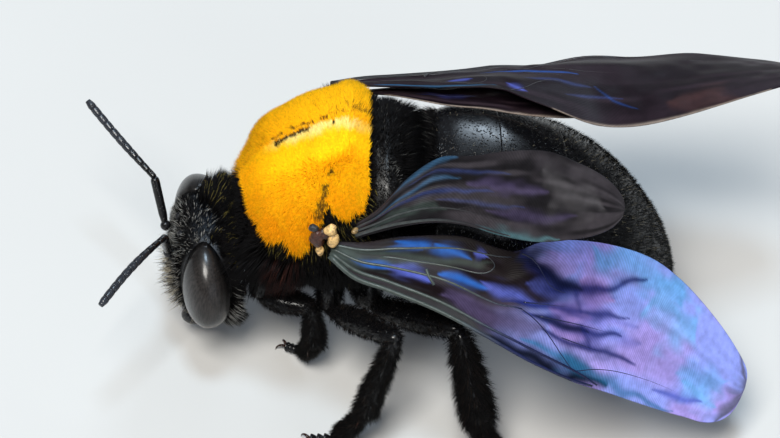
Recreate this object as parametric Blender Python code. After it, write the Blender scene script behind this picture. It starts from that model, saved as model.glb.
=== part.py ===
"""A carpenter bee as a still, life-size museum model.

The bee faces -Y with its left side towards +X and stands on the floor z = 0 on six
small flats. Head, thorax, abdomen segments, wings, feelers and leg segments are
separate closed solids with a narrow gap where they meet.

Shapes are laid out in millimetres in the body frame: X to the bee's left, Y to the
rear, Z up, with the origin in the middle of the thorax. BODY_POSE puts that frame on
the floor. Feet are laid out in millimetres on the floor itself.
"""

from math import asin, copysign, cos, pi, radians, sin, tan

import bmesh
import bpy
from mathutils import Matrix, Vector

MM = 0.001

# Stance
THORAX_HEIGHT = 9.1
BODY_PITCH = radians(7.0)
JOINT_GAP = 0.15

# Thorax: distance ahead of its middle, half width, half height, height of the section
THORAX_SECTIONS = (
    (3.88, 1.20, 1.10, -2.20),
    (3.55, 2.40, 2.05, -1.45),
    (2.60, 3.70, 3.10, -0.55),
    (1.30, 4.45, 3.80, -0.15),
    (0.00, 4.75, 4.30, 0.05),
    (-1.40, 4.65, 4.65, 0.15),
    (-2.45, 4.45, 4.30, 0.00),
)
PROPODEUM_SECTIONS = (
    (-2.45, 4.30, 4.15, -0.05),
    (-3.30, 4.15, 4.00, -0.15),
    (-4.00, 3.90, 3.75, -0.30),
    (-4.40, 3.30, 3.15, -0.50),
    (-4.55, 2.50, 2.40, -0.65),
)
TRUNK_POWER = 2.1

# Abdomen: share of its length, half width, half height
ABDOMEN_LENGTH = 13.6
ABDOMEN_ROOT = Vector((0.0, 4.70, -0.55))
ABDOMEN_START_PITCH = radians(2.0)
ABDOMEN_END_PITCH = radians(64.0)
ABDOMEN_SECTIONS = (
    (0.00, 2.50, 2.20),
    (0.012, 3.50, 3.05),
    (0.04, 4.25, 3.65),
    (0.13, 4.65, 3.85),
    (0.28, 4.85, 3.90),
    (0.50, 4.65, 3.65),
    (0.70, 3.80, 2.95),
    (0.84, 2.90, 2.25),
    (0.94, 1.80, 1.40),
    (1.00, 0.70, 0.55),
)
ABDOMEN_BORDERS = (0.0, 0.19, 0.37, 0.54, 0.70, 0.85, 1.0)
ABDOMEN_POWER = 2.15
BELLY_FLATTENING = 0.80

# Head
HEAD_MIDDLE = Vector((0.50, -5.25, -3.90))
HEAD_TURN = radians(6.0)
HEAD_HALF = Vector((3.05, 1.55, 2.85))
HEAD_REAR_DEPTH = 2.40
HEAD_LOWER_HEIGHT = 2.55
HEAD_POWER = 2.4
HEAD_REAR = 1.25
EYE_HALF_DEPTH = 1.08
EYE_HALF_HEIGHT = 2.20
EYE_BULGE = 0.75
EYE_RIM = 0.15
EYE_RISE = 0.32
EYE_FORWARD = 0.10
EYE_OUTER_RINGS = (0.15, 0.40, 0.62, 0.80, 0.92, 1.00)
EYE_INNER_RINGS = (1.00, 0.70, 0.35, 0.15)

# Feelers
SCAPE_ROOT = Vector((0.85, -1.68, 1.22))
SCAPE_LENGTH = 2.4
SCAPE_DIRECTIONS = {
    "left": Vector((0.90, -0.10, 1.90)),
    "right": Vector((-0.90, -0.42, 1.90)),
}
FLAGELLUM_LENGTH = 4.85
FLAGELLUM_DIRECTIONS = {
    "left": Vector((4.08, -2.90, -0.20)),
    "right": Vector((-3.30, -3.20, 1.75)),
}
FEELER_RADIUS = 0.26

# Mouthparts, on the head
MANDIBLE_PATH = (Vector((1.60, -0.40, -2.72)), Vector((1.15, -0.68, -2.98)), Vector((0.38, -0.92, -3.22)))
MANDIBLE_RADII = (0.36, 0.46, 0.48, 0.46, 0.38, 0.25)
PROBOSCIS_PATH = (Vector((0.0, 0.45, -3.08)), Vector((0.0, 1.90, -2.72)))

# Legs: the root's place ahead of the thorax middle and angle round it (-90 below), how
# far the first piece leans to the rear, its length, and the radius of each piece
LEGS = {
    "front": dict(root=(2.35, -58), swing=0.0, coxa_length=1.2, femur=0.66, tibia=0.78, tarsus=0.55),
    "middle": dict(root=(-0.55, -60), swing=0.1, coxa_length=1.1, femur=0.68, tibia=0.80, tarsus=0.52),
    "hind": dict(root=(-2.05, -63), swing=0.0, coxa_length=1.2, femur=0.80, tibia=1.05, tarsus=0.62),
}
TOE_SHARES = (0.30, 0.55, 0.75, 1.00)
TOE_RADII = (0.45, 0.40, 0.42, 0.46, 0.40)
ROOT_LIFT = 0.40
HIP_CLEARANCE = 0.90
KNEE_CLEARANCE = 0.95
ANKLE_CLEARANCE = 0.10
# Knee, ankle, end of the long first foot joint, and toe, on the floor frame
STANCES = {
    ("front", "left"): ((3.35, 0.25, 4.7), (3.3, 0.7, 2.0), (2.6, 0.3, 0.60), (2.1, -0.4, 0.28)),
    ("front", "right"): ((-5.2, -1.9, 5.3), (-5.1, -3.2, 2.2), (-5.2, -4.0, 0.60), (-5.4, -5.0, 0.28)),
    ("middle", "left"): ((6.7, 3.8, 6.9), (7.6, 2.9, 2.4), (7.6, 1.9, 0.62), (7.5, 0.7, 0.28)),
    ("middle", "right"): ((-6.6, 0.8, 6.6), (-7.5, 1.3, 2.6), (-8.3, 1.1, 0.62), (-9.4, 0.6, 0.28)),
    ("hind", "left"): ((5.7, 6.7, 6.7), (7.7, 8.2, 2.6), (8.4, 9.2, 0.70), (9.2, 10.6, 0.28)),
    ("hind", "right"): ((-5.8, 6.5, 6.4), (-7.6, 8.4, 2.5), (-8.3, 9.6, 0.70), (-9.0, 11.2, 0.28)),
}

# Wings
WING_THICKNESS = 0.50
WING_CAMBER = 0.05
WING_STEP = 0.2
WING_CHORD_POINTS = 7
FOREWING_LENGTH = 22.0
HINDWING_LENGTH = 13.6
FOREWING_OUTLINE = (
    # share of the span, leading edge, trailing edge
    (0.000, 0.40, -0.35),
    (0.060, 1.00, -0.75),
    (0.130, 1.05, -1.50),
    (0.240, 1.20, -2.30),
    (0.350, 1.60, -2.40),
    (0.395, 1.80, -3.15),
    (0.470, 2.05, -3.85),
    (0.570, 2.10, -4.35),
    (0.660, 1.90, -4.50),
    (0.740, 1.75, -4.25),
    (0.810, 1.60, -3.80),
    (0.880, 1.40, -3.20),
    (0.940, 1.00, -2.50),
    (0.975, 0.35, -2.05),
    (1.000, -0.75, -1.50),
)
HINDWING_OUTLINE = (
    (0.00, 0.35, -0.35),
    (0.08, 0.15, -0.95),
    (0.18, -0.05, -2.20),
    (0.30, -0.15, -3.10),
    (0.42, 0.05, -3.10),
    (0.56, 0.60, -3.25),
    (0.70, 0.95, -3.15),
    (0.82, 0.90, -2.55),
    (0.92, 0.65, -1.80),
    (0.98, 0.20, -1.05),
    (1.00, -0.05, -0.70),
)
# share of the span, then outward sweep, droop and roll (trailing edge up) in degrees
WING_POSES = {
    "forewing_left": ((0.00, 14, 11, 41), (0.34, 14, 12, 42), (0.52, -5, 37, 44), (1.00, -7, 40, 42)),
    "forewing_right": (
        (0.00, 1.5, -4.5, 37),
        (0.30, 1.5, -3, 34),
        (0.44, 1.5, -0.5, 22),
        (0.55, 1.5, 0, 12),
        (0.70, 1.5, -1, 17),
        (1.00, 1.5, 4, 34),
    ),
    "hindwing_left": ((0.00, 22, -28, 34), (1.00, 22, -24, 26)),
    "hindwing_right": ((0.00, 4.0, -6, 38), (0.30, 3.5, -4.0, 34), (0.55, 3.5, 3, 23), (1.00, 3.5, 8, 15)),
}
TEGULA_MIDDLES = {"left": Vector((4.95, -0.15, 2.20)), "right": Vector((-4.98, -0.20, 1.05))}
TEGULA_HALF = Vector((0.25, 0.65, 0.42))
WING_ROOTS = {
    "forewing_left": Vector((4.95, 0.60, 1.45)),
    "forewing_right": Vector((-5.00, 0.60, 1.50)),
    "hindwing_left": Vector((4.55, 1.70, 2.20)),
    "hindwing_right": Vector((-5.05, 1.70, 0.72)),
}

SIDES = {"left": 1.0, "right": -1.0}
ACROSS = Vector((1, 0, 0))
UPRIGHT = Vector((0, 0, 1))
RING_SIDES = 24
LIMB_SIDES = 10

BODY_POSE = Matrix.Translation((0.0, 0.0, THORAX_HEIGHT)) @ Matrix.Rotation(BODY_PITCH, 4, "X")


def clear_scene():
    for item in list(bpy.data.objects):
        bpy.data.objects.remove(item)


def finish(name, colour, roughness, metallic=0.0):
    made = bpy.data.materials.new(name)
    made.use_nodes = True
    shader = made.node_tree.nodes["Principled BSDF"]
    shader.inputs["Base Color"].default_value = (*colour, 1.0)
    shader.inputs["Roughness"].default_value = roughness
    shader.inputs["Metallic"].default_value = metallic
    made.diffuse_color = (*colour, 1.0)
    return made


def add_solid(name, points, faces, material):
    """Adds a closed mesh from points in millimetres on the floor frame."""
    mesh = bpy.data.meshes.new(name)
    mesh.from_pydata([point * MM for point in points], [], faces)
    shape = bmesh.new()
    shape.from_mesh(mesh)
    bmesh.ops.recalc_face_normals(shape, faces=shape.faces)
    bmesh.ops.triangulate(shape, faces=shape.faces)
    shape.to_mesh(mesh)
    shape.free()
    mesh.shade_smooth()
    mesh.materials.append(material)
    solid = bpy.data.objects.new(name, mesh)
    bpy.context.scene.collection.objects.link(solid)
    return solid


def loft(name, rings, material):
    """Joins equal rings of points into one closed skin, with a fan over each end."""
    count = len(rings[0])
    points = [point for ring in rings for point in ring]
    faces = []
    for row in range(len(rings) - 1):
        for column in range(count):
            beside = (column + 1) % count
            near, far = row * count, (row + 1) * count
            faces.append((near + column, near + beside, far + beside, far + column))
    for first, ring in ((0, rings[0]), ((len(rings) - 1) * count, rings[-1])):
        points.append(sum(ring, Vector()) / count)
        for column in range(count):
            faces.append((first + column, first + (column + 1) % count, len(points) - 1))
    return add_solid(name, points, faces, material)


def interpolate(rows, where):
    """Reads a table of rows at a value of its first column, with an eased slope."""
    rising = rows[0][0] < rows[-1][0]
    ordered = rows if rising else rows[::-1]
    where = min(max(where, ordered[0][0]), ordered[-1][0])
    last = len(ordered) - 1
    index = max(i for i in range(last) if ordered[i][0] <= where)
    before = ordered[max(index - 1, 0)]
    start, end = ordered[index], ordered[index + 1]
    after = ordered[min(index + 2, last)]
    step = end[0] - start[0]
    share = (where - start[0]) / step
    values = []
    for column in range(1, len(start)):
        slope_in = (end[column] - before[column]) / (end[0] - before[0]) * step
        slope_out = (after[column] - start[column]) / (after[0] - start[0]) * step
        square, cube = share * share, share * share * share
        values.append(
            (2 * cube - 3 * square + 1) * start[column]
            + (cube - 2 * square + share) * slope_in
            + (3 * square - 2 * cube) * end[column]
            + (cube - square) * slope_out
        )
    return values


def signed_power(value, power):
    return copysign(abs(value) ** power, value)


def section_ring(middle, side, up, half_side, half_up, half_down, power, count=RING_SIDES):
    """A superellipse in the plane of side and up."""
    ring = []
    for index in range(count):
        angle = 2 * pi * index / count
        across = signed_power(cos(angle), 2 / power) * half_side
        rise = signed_power(sin(angle), 2 / power)
        ring.append(middle + side * across + up * rise * (half_up if rise > 0 else half_down))
    return ring


def posed(rings):
    return [[BODY_POSE @ point for point in ring] for ring in rings]


def spread(first, last, count):
    return [first + (last - first) * index / (count - 1) for index in range(count)]


# Thorax and propodeum


def trunk_ring(sections, ahead):
    half_width, half_height, height = interpolate(sections, ahead)
    middle = Vector((0.0, -ahead, height))
    return section_ring(
        middle, ACROSS, UPRIGHT, half_width, half_height, half_height, TRUNK_POWER
    )


def trunk_surface(ahead, angle):
    """A point of the thorax and the outward normal there; angle 0 is the left, -90 below."""

    def point(at, turn):
        half_width, half_height, height = interpolate(THORAX_SECTIONS, at)
        return Vector((half_width * cos(turn), -at, height + half_height * sin(turn)))

    nudge = 0.02
    here = point(ahead, angle)
    along = point(ahead - nudge, angle) - here
    around = point(ahead, angle + nudge) - here
    return here, around.cross(along).normalized() * -1.0


def build_thorax(coat, cuticle):
    front, rear = THORAX_SECTIONS[0][0], THORAX_SECTIONS[-1][0]
    stations = [front - (front - rear) * (1 - cos(pi * i / 26)) for i in range(13)] + [rear]
    loft("thorax", posed([trunk_ring(THORAX_SECTIONS, at) for at in stations]), coat)
    front, rear = PROPODEUM_SECTIONS[0][0] - JOINT_GAP, PROPODEUM_SECTIONS[-1][0]
    rings = [trunk_ring(PROPODEUM_SECTIONS, at) for at in spread(front, rear, 7)]
    loft("propodeum", posed(rings), cuticle)


# Abdomen


def abdomen_ring(share):
    """A section across the curled axis of the abdomen, an arc whose pitch grows evenly."""
    turn = (ABDOMEN_END_PITCH - ABDOMEN_START_PITCH) / ABDOMEN_LENGTH
    pitch = ABDOMEN_START_PITCH + turn * ABDOMEN_LENGTH * share
    along = (sin(pitch) - sin(ABDOMEN_START_PITCH)) / turn
    down = (cos(ABDOMEN_START_PITCH) - cos(pitch)) / turn
    middle = ABDOMEN_ROOT + Vector((0.0, along, -down))
    up = Vector((0.0, sin(pitch), cos(pitch)))
    half_width, half_height = interpolate(ABDOMEN_SECTIONS, share)
    belly = half_height * BELLY_FLATTENING
    return section_ring(middle, ACROSS, up, half_width, half_height, belly, ABDOMEN_POWER)


def build_abdomen(material):
    half_gap = JOINT_GAP / 2 / ABDOMEN_LENGTH
    for number in range(1, len(ABDOMEN_BORDERS)):
        first = ABDOMEN_BORDERS[number - 1] + (half_gap if number > 1 else 0.0)
        last = ABDOMEN_BORDERS[number] - half_gap
        count = 7 if number == 1 else 5
        rings = [abdomen_ring(share) for share in spread(first, last, count)]
        loft(f"abdomen_segment_{number}", posed(rings), material)


# Head


def head_half_width(back, rise, clearance=0.0):
    """Half width of the head capsule at a place given from its middle."""
    depth = (HEAD_HALF.y if back < 0 else HEAD_REAR_DEPTH) + clearance
    height = (HEAD_LOWER_HEIGHT if rise < 0 else HEAD_HALF.z) + clearance
    left = 1.0 - abs(back / depth) ** HEAD_POWER - abs(rise / height) ** HEAD_POWER
    return (HEAD_HALF.x + clearance) * max(left, 0.0) ** (1 / HEAD_POWER)


def on_head(point):
    """Turns a point of the head about its upright axis, onto the body frame."""
    return HEAD_MIDDLE + Matrix.Rotation(HEAD_TURN, 3, "Z") @ point


def build_head(material):
    """The head is dome-shaped in front and cut flat behind, where the neck joins it."""
    rings = []
    rear_turn = asin((HEAD_REAR / HEAD_REAR_DEPTH) ** (HEAD_POWER / 2))
    for turn in spread(radians(-84), rear_turn, 13):
        depth = HEAD_HALF.y if turn < 0 else HEAD_REAR_DEPTH
        middle = Vector((0.0, depth * signed_power(sin(turn), 2 / HEAD_POWER), 0.0))
        shrink = cos(turn) ** (2 / HEAD_POWER)
        width, upper, lower = (
            half * shrink for half in (HEAD_HALF.x, HEAD_HALF.z, HEAD_LOWER_HEIGHT)
        )
        ring = section_ring(middle, ACROSS, UPRIGHT, width, upper, lower, HEAD_POWER)
        rings.append([on_head(point) for point in ring])
    loft("head", posed(rings), material)


def eye_point(sign, ring_share, turn, outer):
    """A point of an eye's outer dome or of its inner face against the head."""
    back = EYE_HALF_DEPTH * ring_share * cos(turn) - EYE_FORWARD
    rise = EYE_HALF_HEIGHT * ring_share * sin(turn) + EYE_RISE
    inner = head_half_width(back, rise, JOINT_GAP)
    dome = EYE_BULGE * (1.0 - ring_share**2.4) ** 0.6 if outer else 0.0
    rim = EYE_RIM if outer else 0.0
    return on_head(Vector((sign * (inner + rim + dome), back, rise)))


def build_eye(side, material):
    sign = SIDES[side]
    count = 18
    turns = [2 * pi * index / count for index in range(count)]
    outer = [[eye_point(sign, share, turn, True) for turn in turns] for share in EYE_OUTER_RINGS]
    inner = [[eye_point(sign, share, turn, False) for turn in turns] for share in EYE_INNER_RINGS]
    loft(f"eye_{side}", posed(outer + inner), material)


def limb(name, path, radii, material, pose=Matrix.Identity(4), floor=False):
    """A tapered tube along a path, its ends rounded over; radii match the path's points."""
    rings = []
    path = [pose @ point for point in path]
    last = len(path) - 1
    side = None
    for index, (point, radius) in enumerate(zip(path, radii)):
        along = (path[min(index + 1, last)] - path[max(index - 1, 0)]).normalized()
        if side is None:
            helper = Vector((0, 0, 1)) if abs(along.z) < 0.8 else Vector((0, 1, 0))
            side = along.cross(helper).normalized()
        side = (side - along * side.dot(along)).normalized()
        up = side.cross(along)
        rings.append(section_ring(point, side, up, radius, radius, radius, 2.0, LIMB_SIDES))
    if floor:
        for ring in rings:
            for point in ring:
                point.z = max(point.z, 0.0)
    return loft(name, rings, material)


def rounded(start, end, radius_start, radius_middle, radius_end, count=6):
    """Path and radii of a straight limb segment with rounded ends."""
    shares = [0.0, 0.06] + spread(0.2, 0.8, count - 3) + [0.94, 1.0]
    path, radii = [], []
    for share in shares:
        bulge = sin(pi * share)
        radius = radius_start + (radius_end - radius_start) * share
        radius += (radius_middle - (radius_start + radius_end) / 2) * bulge
        if share in (0.0, 1.0):
            radius *= 0.62
        path.append(start.lerp(end, share))
        radii.append(radius)
    return path, radii


def build_feelers(material):
    for side, sign in SIDES.items():
        mirror = Vector((sign, 1, 1))
        root = on_head(SCAPE_ROOT * mirror)
        elbow = root + SCAPE_DIRECTIONS[side].normalized() * SCAPE_LENGTH
        path, radii = rounded(root, elbow, FEELER_RADIUS, FEELER_RADIUS, FEELER_RADIUS, 5)
        limb(f"antenna_scape_{side}", path, radii, material, BODY_POSE)
        flagellum = FLAGELLUM_DIRECTIONS[side].normalized()
        start = elbow + flagellum * (JOINT_GAP + FEELER_RADIUS)
        end = elbow + flagellum * FLAGELLUM_LENGTH
        path, radii = rounded(start, end, FEELER_RADIUS, FEELER_RADIUS, FEELER_RADIUS, 6)
        limb(f"antenna_flagellum_{side}", path, radii, material, BODY_POSE)


def build_mouthparts(material):
    for side, sign in SIDES.items():
        mirror = Vector((sign, 1, 1))
        root, bend, tip = (on_head(place * mirror) for place in MANDIBLE_PATH)
        path = [root, root.lerp(bend, 0.3), root.lerp(bend, 0.7), bend, bend.lerp(tip, 0.5), tip]
        limb(f"mandible_{side}", path, MANDIBLE_RADII, material, BODY_POSE)
    start, end = (on_head(place) for place in PROBOSCIS_PATH)
    path, radii = rounded(start, end, 0.40, 0.45, 0.35, 5)
    limb("proboscis", path, radii, material, BODY_POSE)


# Wings


def wing_frame(sign, poses, share):
    """Span, chord (towards the trailing edge) and normal at a share of the span."""
    sweep, droop, roll = (radians(angle) for angle in interpolate(poses, share))
    span = Vector((sin(sweep) * cos(droop), cos(sweep) * cos(droop), -sin(droop)))
    inward = Vector((0, 0, 1)).cross(span).normalized()
    chord = inward * cos(roll) + span.cross(inward) * sin(roll)
    mirror = Vector((sign, 1, 1))
    return span * mirror, chord * mirror, span.cross(chord) * mirror


def build_wing(name, length, outline, material):
    sign = 1 if name.endswith("left") else -1
    poses = WING_POSES[name]
    place = WING_ROOTS[name].copy()
    rings = []
    travelled = 0.0
    for share, lead, trail in outline:
        while travelled < share * length - 1e-6:
            step = min(WING_STEP, share * length - travelled)
            span, _, _ = wing_frame(sign, poses, (travelled + step / 2) / length)
            place = place + span * step
            travelled += step
        _, chord, normal = wing_frame(sign, poses, share)
        top, bottom = [], []
        for part in spread(0.0, 1.0, WING_CHORD_POINTS):
            camber = WING_CAMBER * (lead - trail) * sin(pi * part)
            point = place + chord * (-lead + (lead - trail) * part) + normal * camber
            top.append(point + normal * WING_THICKNESS / 2)
            bottom.append(point - normal * WING_THICKNESS / 2)
        rings.append(top + bottom[::-1])
    loft(name, posed(rings), material)


def build_wings(material):
    for name in WING_POSES:
        fore = name.startswith("fore")
        length = FOREWING_LENGTH if fore else HINDWING_LENGTH
        build_wing(name, length, FOREWING_OUTLINE if fore else HINDWING_OUTLINE, material)


# Legs


def build_leg(pair, side, material):
    """Hip joint piece, thigh, shin and foot, from the thorax down to a flat on the floor."""
    build = LEGS[pair]
    ahead, angle = build["root"]
    surface, normal = trunk_surface(ahead, radians(angle))
    direction = (normal + Vector((0.0, build["swing"], 0.0))).normalized()
    mirror = Vector((SIDES[side], 1, 1))
    top = BODY_POSE @ ((surface + normal * JOINT_GAP + direction * build["swing"] * ROOT_LIFT) * mirror)
    hip = top + (BODY_POSE.to_3x3() @ (direction * mirror)) * build["coxa_length"]
    knee, ankle, heel, toe = (Vector(place) for place in STANCES[pair, side])
    name = f"leg_{pair}_{side}"
    wide = build["femur"]
    path, radii = rounded(top, hip, wide, wide * 1.05, wide * 0.85, 5)
    limb(f"{name}_coxa", path, radii, material)
    thigh = (knee - hip).normalized()
    start = hip + thigh * bend_clearance(hip - top, thigh, wide, HIP_CLEARANCE)
    path, radii = rounded(start, knee - thigh * JOINT_GAP, wide * 0.7, wide, wide * 0.62, 6)
    limb(f"{name}_femur", path, radii, material)
    shin = (ankle - knee).normalized()
    start = knee + shin * bend_clearance(thigh, shin, wide, KNEE_CLEARANCE)
    path, radii = rounded(start, ankle, wide * 0.6, build["tibia"], wide * 0.7, 6)
    limb(f"{name}_tibia", path, radii, material)
    start = ankle + (heel - ankle).normalized() * (JOINT_GAP + ANKLE_CLEARANCE)
    path = [start.lerp(heel, share) for share in (0.0, 0.15, 0.5, 0.85, 1.0)]
    path += [heel.lerp(toe, share) for share in TOE_SHARES]
    thick = build["tarsus"]
    radii = [thick * share for share in (0.60, 0.95, 1.00, 0.85)] + list(TOE_RADII)
    limb(f"{name}_tarsus", path, radii, material, floor=True)


def bend_clearance(before, after, radius, most):
    """How far a limb segment starts past a joint, so that it clears the one before it."""
    bend = before.angle(after)
    share = most if bend > radians(80) else min(tan(bend), most)
    return JOINT_GAP + radius * share


def build_legs(material):
    for pair, side in STANCES:
        build_leg(pair, side, material)


def build_tegulae(material):
    """The small shell plates over the wing roots."""
    for side, middle in TEGULA_MIDDLES.items():
        rings = []
        for turn in spread(radians(-75), radians(75), 6):
            centre = middle + Vector((0, sin(turn) * TEGULA_HALF.y, 0))
            wide, tall = TEGULA_HALF.x * cos(turn), TEGULA_HALF.z * cos(turn)
            rings.append(section_ring(centre, ACROSS, UPRIGHT, wide, tall, tall, 2.0, LIMB_SIDES))
        loft(f"tegula_{side}", posed(rings), material)


def stand_on_origin():
    """Moves the whole bee so that the middle of its footprint box is over the origin."""
    corners = [vertex.co for item in bpy.data.objects for vertex in item.data.vertices]
    low = [min(point[axis] for point in corners) for axis in range(3)]
    high = [max(point[axis] for point in corners) for axis in range(3)]
    shift = Vector((-(low[0] + high[0]) / 2, -(low[1] + high[1]) / 2, -low[2]))
    for item in bpy.data.objects:
        item.data.transform(Matrix.Translation(shift))


def main():
    clear_scene()
    coat = finish("thorax_coat", (0.83, 0.48, 0.02), 0.85)
    black_coat = finish("black_coat", (0.02, 0.02, 0.022), 0.7)
    cuticle = finish("cuticle", (0.02, 0.02, 0.025), 0.3)
    eye = finish("eye", (0.03, 0.03, 0.03), 0.25)
    membrane = finish("wing_membrane", (0.10, 0.06, 0.12), 0.3)
    sclerite = finish("sclerite", (0.70, 0.52, 0.28), 0.45)
    build_thorax(coat, black_coat)
    build_abdomen(cuticle)
    build_head(black_coat)
    for side in SIDES:
        build_eye(side, eye)
    build_feelers(cuticle)
    build_mouthparts(cuticle)
    build_wings(membrane)
    build_tegulae(sclerite)
    build_legs(black_coat)
    stand_on_origin()


main()
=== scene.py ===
"""Looks of a carpenter bee as a still, life-size museum model.

Shapes are worked out in millimetres in the body frame: X to the bee's left, Y to the
rear, Z up, with the origin in the middle of the thorax. to_world turns them into the
row frame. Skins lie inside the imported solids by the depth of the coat, and hairs are
closed three-sided blades that reach the solids' surface.
"""

import math
from types import SimpleNamespace

import bpy
import numpy as np
from mathutils import Matrix, Vector


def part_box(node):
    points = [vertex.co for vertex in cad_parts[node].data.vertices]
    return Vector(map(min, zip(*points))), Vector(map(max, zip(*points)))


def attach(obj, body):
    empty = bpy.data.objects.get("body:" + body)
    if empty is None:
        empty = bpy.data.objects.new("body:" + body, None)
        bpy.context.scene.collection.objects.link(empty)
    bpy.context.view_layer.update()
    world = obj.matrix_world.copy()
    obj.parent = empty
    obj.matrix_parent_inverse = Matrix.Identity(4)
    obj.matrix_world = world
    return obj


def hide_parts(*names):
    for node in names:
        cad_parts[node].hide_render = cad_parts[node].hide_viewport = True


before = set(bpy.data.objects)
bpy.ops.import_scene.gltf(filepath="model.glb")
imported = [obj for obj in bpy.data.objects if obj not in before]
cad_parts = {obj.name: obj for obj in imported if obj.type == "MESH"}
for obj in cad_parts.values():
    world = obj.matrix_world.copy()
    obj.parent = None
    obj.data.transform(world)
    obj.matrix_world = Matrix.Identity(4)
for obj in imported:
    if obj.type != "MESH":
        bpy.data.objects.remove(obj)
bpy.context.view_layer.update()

MM = 0.001
SIDES = {"left": 1.0, "right": -1.0}

# Body frame: its tilt, and the height of its origin over the floor
BODY_PITCH = math.radians(7.0)
THORAX_HEIGHT = 9.1
TILT = np.array(Matrix.Rotation(BODY_PITCH, 3, "X"))

# Trunk: distance ahead of its middle, half width, half height, height of the section
TRUNK_SECTIONS = (
    (3.88, 1.20, 1.10, -2.20),
    (3.55, 2.40, 2.05, -1.45),
    (2.60, 3.70, 3.10, -0.55),
    (1.30, 4.45, 3.80, -0.15),
    (0.00, 4.75, 4.30, 0.05),
    (-1.40, 4.65, 4.65, 0.15),
    (-2.45, 4.38, 4.22, -0.03),
    (-3.30, 4.15, 4.00, -0.15),
    (-4.00, 3.90, 3.75, -0.30),
    (-4.40, 3.30, 3.15, -0.50),
    (-4.55, 2.50, 2.40, -0.65),
)
TRUNK_POWER = 2.1


def body_origin():
    """The middle of the thorax in the row frame: its solid starts at the top of its first section."""
    low, high = (np.array(corner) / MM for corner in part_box("thorax"))
    ahead, _, half_height, height = TRUNK_SECTIONS[0]
    foremost = TILT @ np.array([0.0, -ahead, height + half_height])
    return np.array([(low[0] + high[0]) / 2, low[1] - foremost[1], THORAX_HEIGHT])


ORIGIN = body_origin()

# Abdomen: share of its length, half width, half height
ABDOMEN_LENGTH = 13.6
ABDOMEN_ROOT = np.array([0.0, 4.70, -0.55])
ABDOMEN_START_PITCH = math.radians(2.0)
ABDOMEN_END_PITCH = math.radians(64.0)
ABDOMEN_SECTIONS = (
    (0.00, 2.50, 2.20),
    (0.012, 3.50, 3.05),
    (0.04, 4.25, 3.65),
    (0.13, 4.65, 3.85),
    (0.28, 4.85, 3.90),
    (0.50, 4.65, 3.65),
    (0.70, 3.80, 2.95),
    (0.84, 2.90, 2.25),
    (0.94, 1.80, 1.40),
    (1.00, 0.70, 0.55),
)
ABDOMEN_BORDERS = (0.0, 0.19, 0.37, 0.54, 0.70, 0.85, 1.0)
ABDOMEN_POWER = 2.15
BELLY_FLATTENING = 0.80

# Head
HEAD_MIDDLE = np.array([0.50, -5.25, -3.90])
HEAD_TURN = math.radians(6.0)
HEAD_HALF = np.array([3.05, 1.55, 2.85])
HEAD_REAR_DEPTH = 2.40
HEAD_LOWER_HEIGHT = 2.55
HEAD_POWER = 2.4
HEAD_REAR = 1.25
EYE_HALF_DEPTH = 1.08
EYE_HALF_HEIGHT = 2.20
EYE_BULGE = 0.75
EYE_RIM = 0.15
EYE_RISE = 0.32
EYE_FORWARD = 0.10
# The three small eyes of the crown: place across and up the head
OCELLI = ((0.0, 1.75), (0.55, 2.05), (-0.55, 2.05))
OCELLUS_HALF = (0.19, 0.17, 0.19)

# Feelers
SCAPE_ROOT = np.array([0.85, -1.68, 1.22])
SCAPE_LENGTH = 2.4
SCAPE_DIRECTIONS = {"left": (0.90, -0.10, 1.90), "right": (-0.90, -0.42, 1.90)}
FLAGELLUM_LENGTH = 4.85
FLAGELLUM_DIRECTIONS = {"left": (4.08, -2.90, -0.20), "right": (-3.30, -3.20, 1.75)}

# Mouthparts, on the head
MANDIBLE_PATH = ((1.60, -0.40, -2.72), (1.15, -0.68, -2.98), (0.38, -0.92, -3.22))
PROBOSCIS_PATH = ((0.0, 0.45, -3.08), (0.0, 1.90, -2.72))

# Wings: share of the span, leading edge, trailing edge
FOREWING_LENGTH = 22.0
HINDWING_LENGTH = 13.6
WING_CAMBER = 0.05
FOREWING_OUTLINE = (
    (0.000, 0.40, -0.35),
    (0.060, 1.00, -0.75),
    (0.130, 1.05, -1.50),
    (0.240, 1.20, -2.30),
    (0.350, 1.60, -2.40),
    (0.395, 1.80, -3.15),
    (0.470, 2.05, -3.85),
    (0.570, 2.10, -4.35),
    (0.660, 1.90, -4.50),
    (0.740, 1.75, -4.25),
    (0.810, 1.60, -3.80),
    (0.880, 1.40, -3.20),
    (0.920, 1.30, -2.78),
    (0.950, 1.08, -2.42),
    (0.972, 0.76, -2.12),
    (0.988, 0.32, -1.83),
    (0.997, -0.25, -1.50),
    (1.000, -0.85, -1.15),
)
HINDWING_OUTLINE = (
    (0.00, 0.35, -0.35),
    (0.08, 0.15, -0.95),
    (0.18, -0.05, -2.20),
    (0.30, -0.15, -3.10),
    (0.42, 0.05, -3.10),
    (0.56, 0.60, -3.25),
    (0.70, 0.95, -3.15),
    (0.82, 0.90, -2.55),
    (0.890, 0.78, -2.10),
    (0.935, 0.60, -1.70),
    (0.968, 0.36, -1.30),
    (0.988, 0.08, -0.95),
    (0.997, -0.12, -0.68),
    (1.000, -0.28, -0.45),
)
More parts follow.
